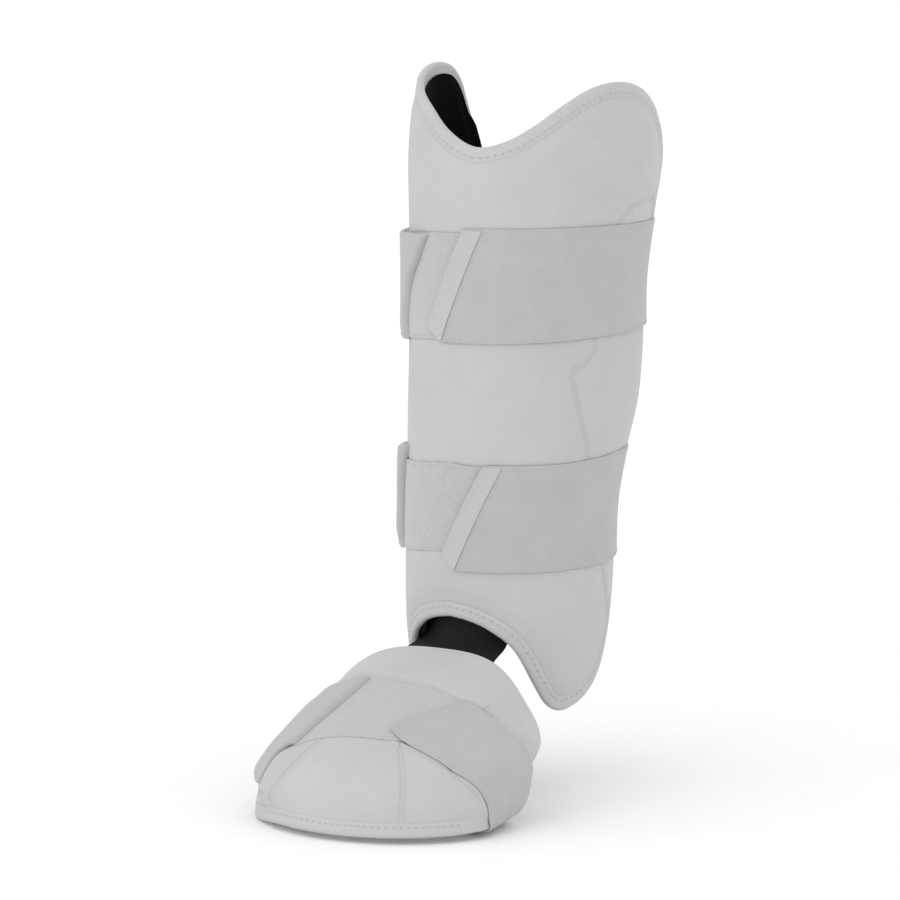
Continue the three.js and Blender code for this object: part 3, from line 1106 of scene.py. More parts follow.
@dataclass
class ShinStrap:
    """One strap round the shin with its landing, bare label tape and stitching."""

    form: ShinForm
    name: str
    edges: Table
    front_end: Table
    back_end: Table
    landing: Table
    patch_line: Table
    length: float
    front_angle: float = 30
    unwound_from: float = -12
    seat: float = 0.2
    seat_sink: float = 1.5
    seat_fall: float = 1.0
    sunk_left: Span = (-52, -24)
    sunk_right: Span = (58, 90)
    pulled_from: Span = (58, 104)
    pulled_until: Span = (150, 215)
    landing_fade: Span = (3, 14)
    press_out: float = 0.7
    press_in: float = 0.5
    front_above: Span = (1.5, 9)
    back_above: Span = (-0.4, 1.8)
    back_from: Span = (220, 260)
    fill: float = 2.3
    fill_from: Span = (240, 290)
    fill_above: Span = (3, 12)
    low_fill: float = 0.5
    taper: Span = (-2, 9)
    end_run: float = 3.0
    end_sink: float = 0.4
    end_thickness: float = 0.4
    gap: float = 0.15
    strap_thickness: float = 1.4
    landing_thickness: float = 1.2
    label_thickness: float = 0.5
    label_width: float = 12.0
    label_slant: float = 1.1
    label_inset: float = 0.3
    label_across: Span = (0.02, 0.985)
    label_insets: tuple[float, ...] = (0.0, 0.03, 0.12, 0.3, 0.6)
    strap_grid_size: tuple[int, int] = (300, 40)
    landing_grid_size: tuple[int, int] = (90, 36)
    label_grid_size: tuple[int, int] = (12, 50)
    strap_stitch_inset: float = 2.4
    landing_stitch_inset: float = 1.9
    border_across: Span = (0.05, 0.96)
    border_angle: float = 1.2
    line_steps: int = 60
    edge_stitch: Stitch = Stitch(pitch=2.6, length=1.8, width=0.45, lean=38, zigzag=True)
    end_stitch: Stitch = Stitch(pitch=2.2, length=2.0, width=0.45, lean=50, zigzag=True)

    @property
    def width(self) -> float:
        """Width of the woven band at the front."""
        return float(self.height(self.front_angle, 1) - self.height(self.front_angle, 0))

    def around(self, angle: Any) -> Any:
        """Angle between half a turn left and half a turn right."""
        return (np.asarray(angle) + FULL_TURN / 2) % FULL_TURN - FULL_TURN / 2

    def unwound(self, angle: Any) -> Any:
        """Angle along the strap of a place on the shell."""
        return np.where(angle < self.unwound_from, angle + FULL_TURN, angle)

    def height(self, angle: Any, across: Any) -> Any:
        """Height of a share of the strap's width."""
        return blend(self.edges.read("low", angle), self.edges.read("high", angle), across)

    def landed(self, around: Any) -> Any:
        """Share of the landing under the strap at an angle."""
        left, right = self.landing.ends
        near, far = self.landing_fade
        return ease(around, left - far, left - near) * (1 - ease(around, right + near, right + far))

    def held(self, angle: Any, across: Any, above: Span) -> Any:
        """Share held off by the landing, which falls to none between two heights above it."""
        rise = self.height(angle, across) - self.landing.read("high", self.around(angle))
        return 1 - ease(rise, *above)

    def cover(self, around: Array, edge: str) -> Array:
        """Low or high edge of what lies on the shell at an angle: the landing, or the strap itself."""
        strap = self.edges.read(edge, self.unwound(around))
        return blend(strap, self.landing.read(edge, around), self.landed(around))

    def seat_offset(self, angle: Any, across: Any) -> Any:
        """Offset of the lowest face on the shell: sunk at the front and tight high on the right side."""
        around = self.around(angle)
        front = ease(around, *self.sunk_left) * (1 - ease(around, *self.sunk_right))
        pulled = ease(angle, *self.pulled_from) * (1 - ease(angle, *self.pulled_until))
        return self.seat - self.seat_sink * front - self.seat_fall * pulled * np.clip(across, 0, 1)

    def press(self, angle: Array, z: Array, offset: Array) -> Array:
        """Shell face pressed in under the strap.

        Args:
            angle: Angles of places on the shell.
            z: Their heights.
            offset: The shell's own offsets there.

        Returns:
            New offsets.
        """
        low, high = self.cover(angle, "low"), self.cover(angle, "high")
        across = (z - low) / (high - low)
        ceiling = self.seat_offset(self.unwound(angle), across) - self.gap
        from_low = ease(z, low - self.press_out, low + self.press_in)
        covered = from_low * (1 - ease(z, high - self.press_in, high + self.press_out))
        return blend(offset, np.minimum(offset, ceiling), covered)

    def run_left(self, angle: Any, across: Any) -> Any:
        """Length of strap between a place and the back end."""
        end = FULL_TURN + self.back_end.read("angle", across)
        return np.radians(end - angle) * self.form.mean_radius

    def lift(self, angle: Any, across: Any) -> Any:
        """Offset of the strap's inner face: over its landing or straight on the shell."""
        stack = (self.landing_thickness + self.gap) * self.landed(self.around(angle))
        front = self.held(angle, across, self.front_above)
        back = self.held(angle, across, self.back_above)
        held = blend(front, back, ease(angle, *self.back_from))
        sunk = self.end_sink * (1 - ease(self.run_left(angle, across), 0, self.end_run))
        return self.seat_offset(angle, across) + held * stack - sunk

    def thick(self, angle: Any, across: Any) -> Any:
        """Thickness of the strap, doubled by the hook patch under its back end and sloped down at it."""
        patch = ease(angle, *self.fill_from) * self.held(angle, across, self.fill_above)
        low = blend(self.low_fill, 1, ease(np.asarray(across) * self.width, *self.taper))
        drop = self.landing_thickness * (1 - self.held(angle, across, self.back_above))
        full = self.strap_thickness + patch * (self.fill * low + drop)
        return end_slope(self.run_left(angle, across) / self.end_run, self.end_thickness, full)

    def strap_grid(self) -> tuple[Array, Array]:
        """Angles and shares of the width over the strap."""
        columns, rows = self.strap_grid_size
        along = (edged_marks(self.length, columns, SoftSheet.end_insets) / self.length)[:, None]
        across = (edged_marks(self.width, rows, SoftSheet.end_insets) / self.width)[None, :]
        start = self.front_end.line("angle", across)
        angle = blend(start, FULL_TURN + self.back_end.read("angle", across), along)
        return angle, np.broadcast_to(across, angle.shape)

    def build_landing(self) -> None:
        """Adds the fuzzy band that both ends hold to, and its stitching."""
        left, right = self.landing.ends
        arc = math.radians(right - left) * self.form.mean_radius
        tall = float(self.landing.read("high", 0) - self.landing.read("low", 0))
        columns, rows = self.landing_grid_size
        angle = blend(left, right, edged_marks(arc, columns, SoftSheet.edge_insets) / arc)[:, None]
        share = (edged_marks(tall, rows, SoftSheet.edge_insets) / tall)[None, :]
        z = blend(self.landing.read("low", angle), self.landing.read("high", angle), share)
        angle = np.broadcast_to(angle, z.shape)
        offset = self.seat_offset(self.unwound(angle), 0.0) + self.landing_thickness / 2
        sheet = SoftSheet(self.form.point(angle, z, offset), self.landing_thickness)
        piece = sheet.add(f"{self.name}_pile_landing", self.form.cloth(angle, z), Pile())
        stand_in(f"{self.name}_landing")
        thread = Stitching(f"{self.name}_landing_thread")
        skin = sheet.skin()
        for side in Side:
            thread.sew(self.edge_stitch, *skin.inset_line(side, self.landing_stitch_inset))
        sewn = thread.add(PALE_THREAD, Slot.PILE)

    def build_strap(self) -> tuple[bpy.types.Object, Skin]:
        """Adds the woven band and returns it with its outer face."""
        angle, across = self.strap_grid()
        thick = self.thick(angle, across)
        offset = self.lift(angle, across) + thick / 2
        sheet = SoftSheet(self.form.point(angle, self.height(angle, across), offset), thick)
        cloth = self.form.cloth(angle, across * self.width)
        piece = sheet.add(f"{self.name}_woven_strap", cloth, Webbing())
        stand_in(f"{self.name}_strap")
        return piece, sheet.skin()

    def build_label(self) -> None:
        """Adds the bare tape along the front end."""
        columns, rows = self.label_grid_size
        along = (edged_marks(self.label_width, columns, self.label_insets) / self.label_width)[:, None]
        marks = edged_marks(self.width, rows, self.label_insets) / self.width
        across = blend(*self.label_across, marks)[None, :]
        left = self.front_end.line("angle", across) + self.label_inset
        angle = blend(left, self.front_end.line("tape", across), along)
        across = np.broadcast_to(across, angle.shape)
        offset = self.lift(angle, across) + self.strap_thickness + self.gap + self.label_thickness / 2
        middle = self.form.point(angle, self.height(angle, across), offset)
        sheet = SoftSheet(middle, self.label_thickness)
        piece = sheet.add(f"{self.name}_bare_tape", sheet.cloth(), LabelTape())
        stand_in(f"{self.name}_label")
        flat = (self.label_width * MM, self.width * self.label_slant * MM)

    def strap_line(self, angle: Array, z: Array) -> tuple[Array, Array]:
        """Points and normals of a line drawn on the strap's outer face."""
        across = (z - self.height(angle, 0)) / (self.height(angle, 1) - self.height(angle, 0))
        offset = self.lift(angle, across) + self.strap_thickness
        line = self.form.point(angle, z, offset)
        return line, unit(self.form.point(angle, z, offset + 1) - line)

    def build(self) -> None:
        """Adds every piece of the strap."""
        self.build_landing()
        strap, skin = self.build_strap()
        self.build_label()
        thread = Stitching(f"{self.name}_strap_thread")
        for side in (Side.LOW, Side.HIGH):
            thread.sew(self.edge_stitch, *skin.inset_line(side, self.strap_stitch_inset))
        border = np.linspace(*self.border_across, self.line_steps)
        angle = self.front_end.line("tape", border) + self.border_angle
        thread.sew(self.end_stitch, *self.strap_line(angle, self.height(angle, border)))
        patch = self.patch_line.trace(self.line_steps)
        thread.sew(self.end_stitch, *self.strap_line(patch["angle"], patch["z"]))
        sewn = thread.add(PALE_THREAD, Slot.WEBBING)
        flat = (self.width * MM, self.length * MM)


@dataclass
class ShinGuard:
    """The padded shin shell with its hem, moulded lines, stitching and mesh lining."""

    form: ShinForm
    straps: list[ShinStrap]
    wall: float = 8
    hem_drop: float = 1.3
    hem_lift: float = 2.3
    hem_width: float = HEM_CREASE_INSET
    hem_soft: float = 0.6
    hem_fade: Span = (106, 118)
    crease_depth: float = 0.3
    crease_width: float = 0.8
    mould_depth: float = 0.5
    mould_wall: Span = (0.6, 1.8)
    mould_fade: Span = (106, 116)
    swell: float = 10
    inner_slope: Span = (4, 14)
    side_lift: float = 0.4
    side_roll: float = 2.4
    sewn_angle: float = 112
    wing_left: float = 2.6
    wing_left_from: Span = (50, 85)
    wing_left_up: Span = (138, 166)
    wing_right: float = 0.2
    wing_right_from: Span = (70, 100)
    wing_right_up: Span = (105, 125)
    lining_thickness: float = 1.2
    lining_gap: float = 0.5
    lining_length: float = 340
    lining_share: float = 0.85
    lining_side: float = 0.9
    lining_steepest: float = 3
    lining_grid_size: tuple[int, int] = (120, 80)
    grid_size: tuple[int, int] = (176, 150)
    inset_share: float = 0.42
    line_steps: int = 260
    insets: tuple[float, ...] = (
        (0, 0.08, 0.35, 0.9, 1.8, 3.2, 4.6, 5.7, 6.8, 7.6, 8.3, 9.0, 10, 11.5, 13.5, 16)
    )
    side_line: Table = Table(
        ("step", "angle", "z"),
        (
            (0, 114, 113),
            (1, 101, 112.7),
            (2, 89.5, 110.2),
            (3, 84.3, 106.2),
            (4, 81.5, 102.4),
            (5, 78, 96),
            (6, 74, 84),
            (7, 71.5, 62),
            (8, 71.8, 44),
            (9, 73.2, 39.4),
            (10, 72.6, 34.5),
            (11, 70.4, 30.2),
            (12, 67, 26.6),
            (13, 62.2, 23.9),
            (14, 60.7, 21.6),
            (15, 61, 18),
            (16, 62.8, 11.7),
            (17, 67.6, -4),
            (18, 73.7, -20.7),
            (19, 79, -38),
            (20, 87, -63),
            (21, 95.2, -85.8),
            (22, 99.5, -95.7),
            (23, 105.7, -107),
            (24, 112, -118),
        ),
    )
    lining_inset: Table = Table(
        ("angle", "inset"),
        (
            (-126, 0.9),
            (-112, 0.9),
            (-107, 3.6),
            (-100, 5.6),
            (-90, 6.4),
            (0, 6.4),
            (90, 6.4),
            (100, 5.6),
            (107, 3.6),
            (112, 0.9),
            (126, 0.9),
        ),
    )
    hem_stitch: Stitch = Stitch()

    def grid(self, columns: int, rows: int) -> tuple[Array, Array]:
        """Angles and heights over the shell, close together along its edges.

        Args:
            columns: Even steps round the leg.
            rows: Even steps up the leg.

        Returns:
            Angles and heights.
        """
        reach = math.radians(self.form.wing_angle) * self.form.mean_radius
        arcs = edged_marks(2 * reach, columns, self.insets) - reach
        angle = arcs / reach * self.form.wing_angle
        low = self.form.edge_height(self.form.instep, angle)
        high = self.form.edge_height(self.form.knee, angle)
        insets = np.array(self.insets)
        most = self.inset_share * (high - low) / insets[-1]
        low_scale = np.minimum(self.form.steepness(self.form.instep, angle), most)
        high_scale = np.minimum(self.form.steepness(self.form.knee, angle), most)
        starts = low[:, None] + insets * low_scale[:, None]
        ends = high[:, None] - insets[::-1] * high_scale[:, None]
        even = np.linspace(0, 1, rows + 1)[1:-1]
        middle = blend(starts[:, -1:], ends[:, :1], even)
        z = np.concatenate([starts, middle, ends], axis=1)
        return np.broadcast_to(angle[:, None], z.shape), z

    def mould_lines(self) -> list[LineField]:
        """The moulded lines down both sides."""
        path = self.side_line.trace(self.line_steps)
        sides = (path["angle"], -path["angle"])
        return [LineField(self.form.point(angle, path["z"], 0.0)) for angle in sides]

    def faces(self, angle: Array, z: Array, edge: Array, groove: Array) -> tuple[Array, Array]:
        """Offsets of the outer and inner faces.

        Args:
            angle: Angles round the leg.
            z: Heights.
            edge: Distances from the shell's edge.
            groove: Distances from the moulded lines.

        Returns:
            Outer and inner offsets.
        """
        hemmed = self.hemmed(angle)
        plump = ease(edge, self.hem_width - self.hem_soft, self.hem_width + self.swell)
        drop = self.hem_drop * hemmed
        lift = self.hem_lift * blend(self.side_lift, 1, hemmed)
        crease = self.crease_depth * hemmed * ridge(edge - self.hem_width, self.crease_width)
        mould = self.mould_depth * (1 - ease(np.abs(groove), *self.mould_wall))
        outer = -drop * (1 - plump) - crease - mould
        for strap in self.straps:
            outer = strap.press(angle, z, outer)
        inner = -self.wall + lift * (1 - ease(edge, *self.inner_slope))
        middle = -(drop + self.wall - lift) / 2
        rolled = rounded(edge, blend(self.side_roll, (self.wall - lift - drop) / 2, hemmed))
        wing = self.wing(angle, z)
        return wing + blend(middle, outer, rolled), wing + blend(middle, inner, rolled)

    def hemmed(self, angle: Array) -> Array:
        """Share of the stitched hem, which runs out where an edge turns into a side."""
        return 1 - ease(np.abs(angle), *self.hem_fade)

    def wing(self, angle: Array, z: Array) -> Array:
        """How far the wings beside the knee stand out."""
        left = self.wing_left * ease(-angle, *self.wing_left_from) * ease(z, *self.wing_left_up)
        right = self.wing_right * ease(angle, *self.wing_right_from) * ease(z, *self.wing_right_up)
        return left + right

    def build_shell(self) -> Skin:
        """Adds the padded shell and returns its outer face."""
        angle, z = self.grid(*self.grid_size)
        base = self.form.point(angle, z, 0.0)
        edge, along, _ = LineField(edge_loop(base)).measure(base)
        normals = surface_normals(base)
        fields = [line.signed(base, normals) for line in self.mould_lines()]
        groove = np.where(np.abs(fields[0]) < np.abs(fields[1]), fields[0], -fields[1])
        outer_offset, inner_offset = self.faces(angle, z, edge, groove)
        outer = self.form.point(angle, z, outer_offset)
        inner = self.form.point(angle, z, inner_offset)
        moulded = 1 - ease(np.abs(angle), *self.mould_fade)
        points, faces, source = closed_grid(outer, inner)
        maps = {
            SEAM_MAP: both_sides(along, edge, source, hidden=(0, HIDDEN_SEAM)),
            MOULD_MAP: both_sides(*fields, source, hidden=(FAR, FAR)),
            FADE_MAP: both_sides(self.hemmed(angle), moulded, source, hidden=(0, 0)),
        }
        piece = add_piece("shin_padding", points, faces, maps, Leather())
        stand_in("shin_shell")
        sewn = np.abs(angle[:, 0]) < self.sewn_angle
        return Skin(outer[sewn], surface_normals(outer)[sewn], edge[sewn])

    def build_lining(self) -> None:
        """Adds the mesh lining inside the shell."""
        angle, z = self.grid(*self.lining_grid_size)
        outline = LineField(edge_loop(self.form.point(angle, z, 0.0)))
        turn = math.radians(self.form.wing_angle)
        angle = angle * (1 - self.lining_side / (turn * self.form.mean_radius))
        low = self.form.edge_height(self.form.instep, angle)
        high = self.form.edge_height(self.form.knee, angle)
        inset = self.lining_inset.read("inset", angle)
        low_in = inset * np.minimum(self.form.steepness(self.form.instep, angle), self.lining_steepest)
        high_in = inset * np.minimum(self.form.steepness(self.form.knee, angle), self.lining_steepest)
        share = (z - z[:, :1]) / (z[:, -1:] - z[:, :1])
        z = blend(low + low_in, high - high_in, share)
        edge, _, _ = outline.measure(self.form.point(angle, z, 0.0))
        _, inner = self.faces(angle, z, edge, np.full_like(edge, FAR))
        middle = self.form.point(angle, z, inner - self.lining_gap - self.lining_thickness / 2)
        sheet = SoftSheet(middle, self.lining_thickness)
        piece = sheet.add("mesh_lining", self.form.cloth(angle, z), KnitMesh())
        stand_in("shin_lining")

    def build(self) -> None:
        """Adds the shell, its stitching and its lining."""
        skin = self.build_shell()
        thread = Stitching("shin_hem_thread")
        for side in (Side.LOW, Side.HIGH):
            thread.sew(self.hem_stitch, *skin.inset_line(side, HEM_STITCH_INSET))
        thread.add(Thread(), Slot.LEATHER)
        self.build_lining()


@dataclass(frozen=True)
class FootForm:
    """Outer face of the foot guard before padding: arched ribs from the toe edge to the instep rim."""

    middle_y: float = -77.5
    middle_z: float = -209
    shoulder: float = 46
    shoulder_width: float = 22
    shoulder_from: Span = (6, 52)
    shoulder_in: float = 2.6
    shoulder_down: float = 3.2
    corner_from: Span = (22, 62)
    corner_length: float = 14
    corner_out: float = 1.4
    corner_down: float = 3.6
    turn_step: float = 0.5
    reach_step: float = 0.2
    halvings: int = 30
    ribs: Table = Table(
        ("reach", "crown", "half_width", "square", "sweep", "side_angle"),
        (
            (-59.5, 0, 73, 2, 1, 81.5),
            (-57.5, 7, 73.2, 2.03, 0.985, 84.5),
            (-53, 21, 73.5, 2.1, 0.95, 85),
            (-41, 35, 74, 2.2, 0.85, 82.5),
            (-20, 46.5, 74.5, 2.35, 0.7, 79.5),
            (5, 56.5, 75.5, 2.5, 0.5, 77.5),
            (32, 69, 76, 2.65, 0.33, 76.5),
            (50, 78, 75, 2.75, 0.25, 75.5),
            (58, 82.5, 74.5, 2.8, 0.22, 70),
        ),
    )

    @property
    def toe(self) -> float:
        """Reach of the toe edge."""
        return self.ribs.ends[0]

    @property
    def rim(self) -> float:
        """Reach of the instep rim."""
        return self.ribs.ends[1]

    def face(self, angle: Any, reach: Any) -> Array:
        """Points on the face."""
        turn = np.radians(angle)
        power = 2 / self.ribs.read("square", reach)
        x = self.ribs.read("half_width", reach) * np.sign(turn) * np.abs(np.sin(turn)) ** power
        y = self.middle_y + reach * np.cos(turn) ** self.ribs.read("sweep", reach)
        z = self.middle_z + self.ribs.read("crown", reach) * np.cos(turn) ** power
        slope = ridge(angle - self.shoulder, self.shoulder_width) * ease(reach, *self.shoulder_from)
        near_toe = 1 - ease(reach, self.toe, self.toe + self.corner_length)
        corner = ease(-np.asarray(angle), *self.corner_from) * near_toe
        x = x - self.shoulder_in * slope - self.corner_out * corner
        z = z - self.shoulder_down * slope - self.corner_down * corner
        return np.stack(np.broadcast_arrays(x, y, z), -1)

    def normal(self, angle: Any, reach: Any) -> Array:
        """Unit normals of the face."""
        right = self.face(angle + self.turn_step, reach) - self.face(angle - self.turn_step, reach)
        ahead = np.minimum(reach + self.reach_step, self.rim)
        back = np.maximum(reach - self.reach_step, self.toe)
        return unit(np.cross(right, self.face(angle, ahead) - self.face(angle, back)))

    def point(self, angle: Any, reach: Any, offset: Any) -> Array:
        """Points on the face, moved out by an offset."""
        return self.face(angle, reach) + np.asarray(offset)[..., None] * self.normal(angle, reach)

    def reach_at(self, angle: Array, y: Array) -> Array:
        """Reach of the rib that passes through y at an angle."""
        low = np.full(np.broadcast(angle, y).shape, self.toe)
        high = np.full_like(low, self.rim)
        for _ in range(self.halvings):
            middle = (low + high) / 2
            short = self.face(angle, middle)[..., 1] < y
            low = np.where(short, middle, low)
            high = np.where(short, high, middle)
        return (low + high) / 2


@dataclass
class FootGuard:
    """The padded foot shell with its landing, its strap under the sole and its stitching."""

    form: FootForm
    wall: float = 7
    hem_drop: float = 1.0
    hem_lift: float = 2.2
    hem_width: float = HEM_CREASE_INSET
    hem_soft: float = 0.6
    hem_fade: Span = (62, 74)
    hem_clear: Span = (-0.4, 1.2)
    hem_sewn: Span = (-46, 66)
    crease_depth: float = 0.3
    crease_width: float = 0.8
    mould_depth: float = 0.45
    mould_wall: Span = (0.6, 1.8)
    swell: float = 8
    inner_slope: Span = (4, 12)
    rim_roll: float = 2.4
    rim_crease_depth: float = 0.35
    rim_crease_width: float = 0.6
    lip: float = 0.35
    lip_wall: Span = (-0.2, 1.8)
    lip_fall: float = 0.8
    lip_slope: Span = (2.5, 24)
    left_lip: float = 3.2
    left_lip_from: Span = (24, 36)
    left_press: float = 1.6
    left_press_from: Span = (40, 54)
    right_lip: float = 0.4
    right_lip_from: Span = (0, 12)
    right_lip_until: Span = (60, 76)
    flank_swell: float = 3.0
    flank_angle: float = 64
    flank_width: float = 13
    flank_slope: Span = (2, 10)
    tucked: float = 3.2
    tucked_from: Span = (8, 15)
    tucked_until: Span = (38, 48)
    press_front: Span = (-0.7, 0.3)
    press_rear: Span = (0.4, 5)
    gap: float = 0.2
    landing_thickness: float = 1.3
    landing_size: Span = (53, 90)
    landing_grid_size: tuple[int, int] = (70, 40)
    landing_left: Span = (2, 12)
    landing_right: Span = (3, 14)
    strap_thickness: float = 1.3
    strap_size: Span = (46, 288)
    strap_rows: int = 30
    side_columns: int = 46
    side_length: float = 90
    sole_columns: int = 31
    corner_columns: int = 15
    fill: float = 1.6
    fill_from: Span = (-77, -67)
    turn_length: float = 1.2
    end_run: float = 3.0
    end_sink: float = 0.4
    end_thickness: float = 0.4
    stitch_inset: float = 2.0
    sewn_right: float = 5
    sewn_above: float = -200
    sole_slant: float = 5
    sole_z: float = -210.6
    sole_half_width: float = 44
    right_tuck: float = 8
    right_flare: float = 2.2
    right_back: float = 6
    right_hold: float = 0.85
    left_tuck: float = 14
    left_hold: float = 0.3
    bend_share: float = 0.3
    columns: int = 150
    side_inset: float = 0.011
    toe_length: float = 40
    toe_even: tuple[float, float, int] = (0.34, 0.9, 26)
    toe_close: tuple[float, ...] = (0.93, 0.96, 0.98, 1.0)
    rim_close: tuple[float, ...] = (0.006, 0.012, 0.02)
    rim_even: tuple[float, float, int] = (0.03, 0.86, 60)
    rim_length: float = 96
    lip_start: float = -20
    lip_rounds: int = 3
    lip_clear: float = 4
    line_steps: int = 120
    insets: tuple[float, ...] = (
        (0, 0.08, 0.35, 0.9, 1.5, 2, 2.4, 2.8, 3.4, 4.6, 5.7, 6.6, 7.4, 7.9, 8.3, 8.8, 9.6, 10.8, 12.5)
    )
    front_edge: Table = Table(
        ("angle", "y"),
        (
            (-81, -81),
            (-77, -84.5),
            (-68, -91),
            (-60, -100.4),
            (-54, -107.6),
            (-48, -113.6),
            (-43, -116),
            (-38, -113.6),
            (-34.6, -109.5),
            (-31, -106.2),
            (-25, -104.2),
            (-16, -102.4),
            (-5.5, -100.6),
            (2, -99.6),
            (10, -99),
            (17, -99.6),
            (24, -99.8),
            (30, -99.4),
            (38, -98.4),
            (48, -96.7),
            (58, -93.2),
            (68, -90),
            (77, -87.8),
            (81, -87.6),
        ),
    )
    rear_edge: Table = Table(
        ("angle", "y"),
        (
            (-80, -52),
            (-62, -53.5),
            (-35, -50),
            (-16, -45.5),
            (-4, -48.5),
            (12, -51.8),
            (22, -54.2),
            (33, -52.8),
            (41, -52.4),
            (49, -50.6),
            (59, -48.6),
            (67, -45.8),
            (80, -44),
        ),
    )
    seat: Table = Table(
        ("angle", "offset"),
        (
            (-80, 0.6),
            (-70, 0.95),
            (-60, 0.95),
            (-50, 0.6),
            (-44, 0),
            (-34, -0.5),
            (-24, -1.15),
            (2, -1.2),
            (12, -1.4),
            (36, -1.35),
            (48, 0.2),
            (56, 1.2),
            (63, 1.9),
            (71, 0.9),
            (82, -0.4),
        ),
    )
    landing_rows: Table = Table(
        ("angle", "toe_y", "rim_y"),
        (
            (-33, -107.4, -50.6),
            (-27, -104.4, -49.4),
            (-20, -102.9, -47.6),
            (-14, -101.9, -46.4),
            (-8, -100.8, -48.6),
            (0, -99.6, -50.2),
            (5.5, -99, -51),
            (10, -98, -52.2),
            (12, -96.9, -52.6),
            (14, -95.8, -53),
            (20, -94.8, -54),
            (34, -92, -55),
        ),
    )
    right_rows: Table = Table(
        ("angle", "toe_y", "rim_y"),
        (
            (7, -89.6, -58),
            (10, -92.8, -57),
            (14.2, -95.6, -56),
            (22, -97.7, -54.3),
            (29.3, -97.9, -53.2),
            (37.5, -97.2, -52.6),
            (48.3, -95.5, -50.8),
            (58.3, -92, -48.8),
            (68.3, -88.8, -45.6),
            (77, -86.6, -44),
            (80, -86.6, -44),
        ),
    )
    left_rows: Table = Table(
        ("angle", "toe_y", "rim_y"),
        (
            (-79.5, -81.2, -54),
            (-77, -83.4, -54.2),
            (-68, -89.9, -54.6),
            (-60, -99.3, -54.8),
            (-54, -106.5, -54),
            (-48, -112.4, -53),
            (-43, -114.8, -52.2),
            (-38, -112.4, -51.4),
            (-34.6, -108.4, -50.6),
            (-31, -105.2, -50),
            (-26, -103.4, -49),
            (-21, -102.4, -48),
            (-12, -101, -47.4),
        ),
    )
    right_end: Table = Table(
        ("share", "angle"), ((0, 7.3), (0.27, 7.1), (0.53, 10.8), (0.76, 16.3), (1, 21.5))
    )
    left_end: Table = Table(
        ("share", "angle"), ((0, -28.5), (0.155, -25.5), (0.465, -21.8), (0.81, -17.4), (1, -15.4))
    )
    toe_lines: tuple[Table, ...] = (
        Table(
            ("step", "angle", "reach"),
            (
                (0, -15.6, -29),
                (1, -19.5, -37.9),
                (2, -23.6, -45.1),
                (3, -29.1, -51.4),
                (4, -33, -55),
                (5, -33.6, -58),
            ),
        ),
        Table(
            ("step", "angle", "reach"),
            ((0, 18, -25), (1, 26.9, -39.1), (2, 31.9, -48.9), (3, 35.4, -58)),
        ),
    )
    hem_stitch: Stitch = Stitch(pitch=4.2, length=2.5, width=0.5)
    edge_stitch: Stitch = Stitch(pitch=2.4, length=2.0, width=0.5, lean=40, zigzag=True)
    tail_stitch: Stitch = Stitch(pitch=30, length=5.5, width=0.55)
    tail_line: Table = Table(
        ("step", "angle", "reach", "offset"), ((0, 32.4, 28, 0.6), (1, 33.6, 33, 1.2))
    )
    tail_steps: int = 4

    def grid(self) -> tuple[Array, Array]:
        """Angles and reaches over the shell, with one row along the lip in front of the strap."""
        insets = np.array(self.insets)
        shares = edged_marks(2.0, self.columns, tuple(insets * self.side_inset)) - 1
        lip_reach = np.full_like(shares, self.lip_start)
        for _ in range(self.lip_rounds):
            lip_angle = shares * self.form.ribs.read("side_angle", lip_reach)
            lip_reach = self.form.reach_at(lip_angle, self.front_edge.read("y", lip_angle))
            lip_reach = np.clip(lip_reach, self.form.toe + self.lip_clear, None)
        toe_part = [insets / self.toe_length, np.linspace(*self.toe_even), self.toe_close]
        rim_part = [self.rim_close, np.linspace(*self.rim_even), 1 - insets[::-1] / self.rim_length]
        toe_rows = blend(self.form.toe, lip_reach[:, None], np.concatenate(toe_part))
        rim_rows = blend(lip_reach[:, None], self.form.rim, np.concatenate(rim_part))
        reach = np.concatenate([toe_rows, rim_rows], axis=1)
        angle = shares[:, None] * self.form.ribs.read("side_angle", reach)
        return angle, reach

    def hemmed(self, angle: Array) -> Array:
        """Share of the stitched toe hem, which runs out towards its two ends."""
        return 1 - ease(np.abs(angle), *self.hem_fade)

    def off_hem(self, toe: Array) -> Array:
        """Share of the panel behind the toe hem, by the distance from the toe edge."""
        return ease(toe - self.hem_width, *self.hem_clear)

    def band_seat(self, angle: Array) -> Array:
        """Offset of what lies on the shell: sunk in on top and proud at the sides."""
        return self.seat.read("offset", angle)

    def lip_height(self, angle: Array) -> Array:
        """Height of the toe panel's rear edge: proud beside the left strap, then pressed in on the flank."""
        left = blend(self.lip, self.left_lip, ease(-angle, *self.left_lip_from))
        left = blend(left, -self.left_press, ease(-angle, *self.left_press_from))
        height = blend(left, self.right_lip, ease(angle, *self.right_lip_from))
        return height * (1 - ease(angle, *self.right_lip_until))

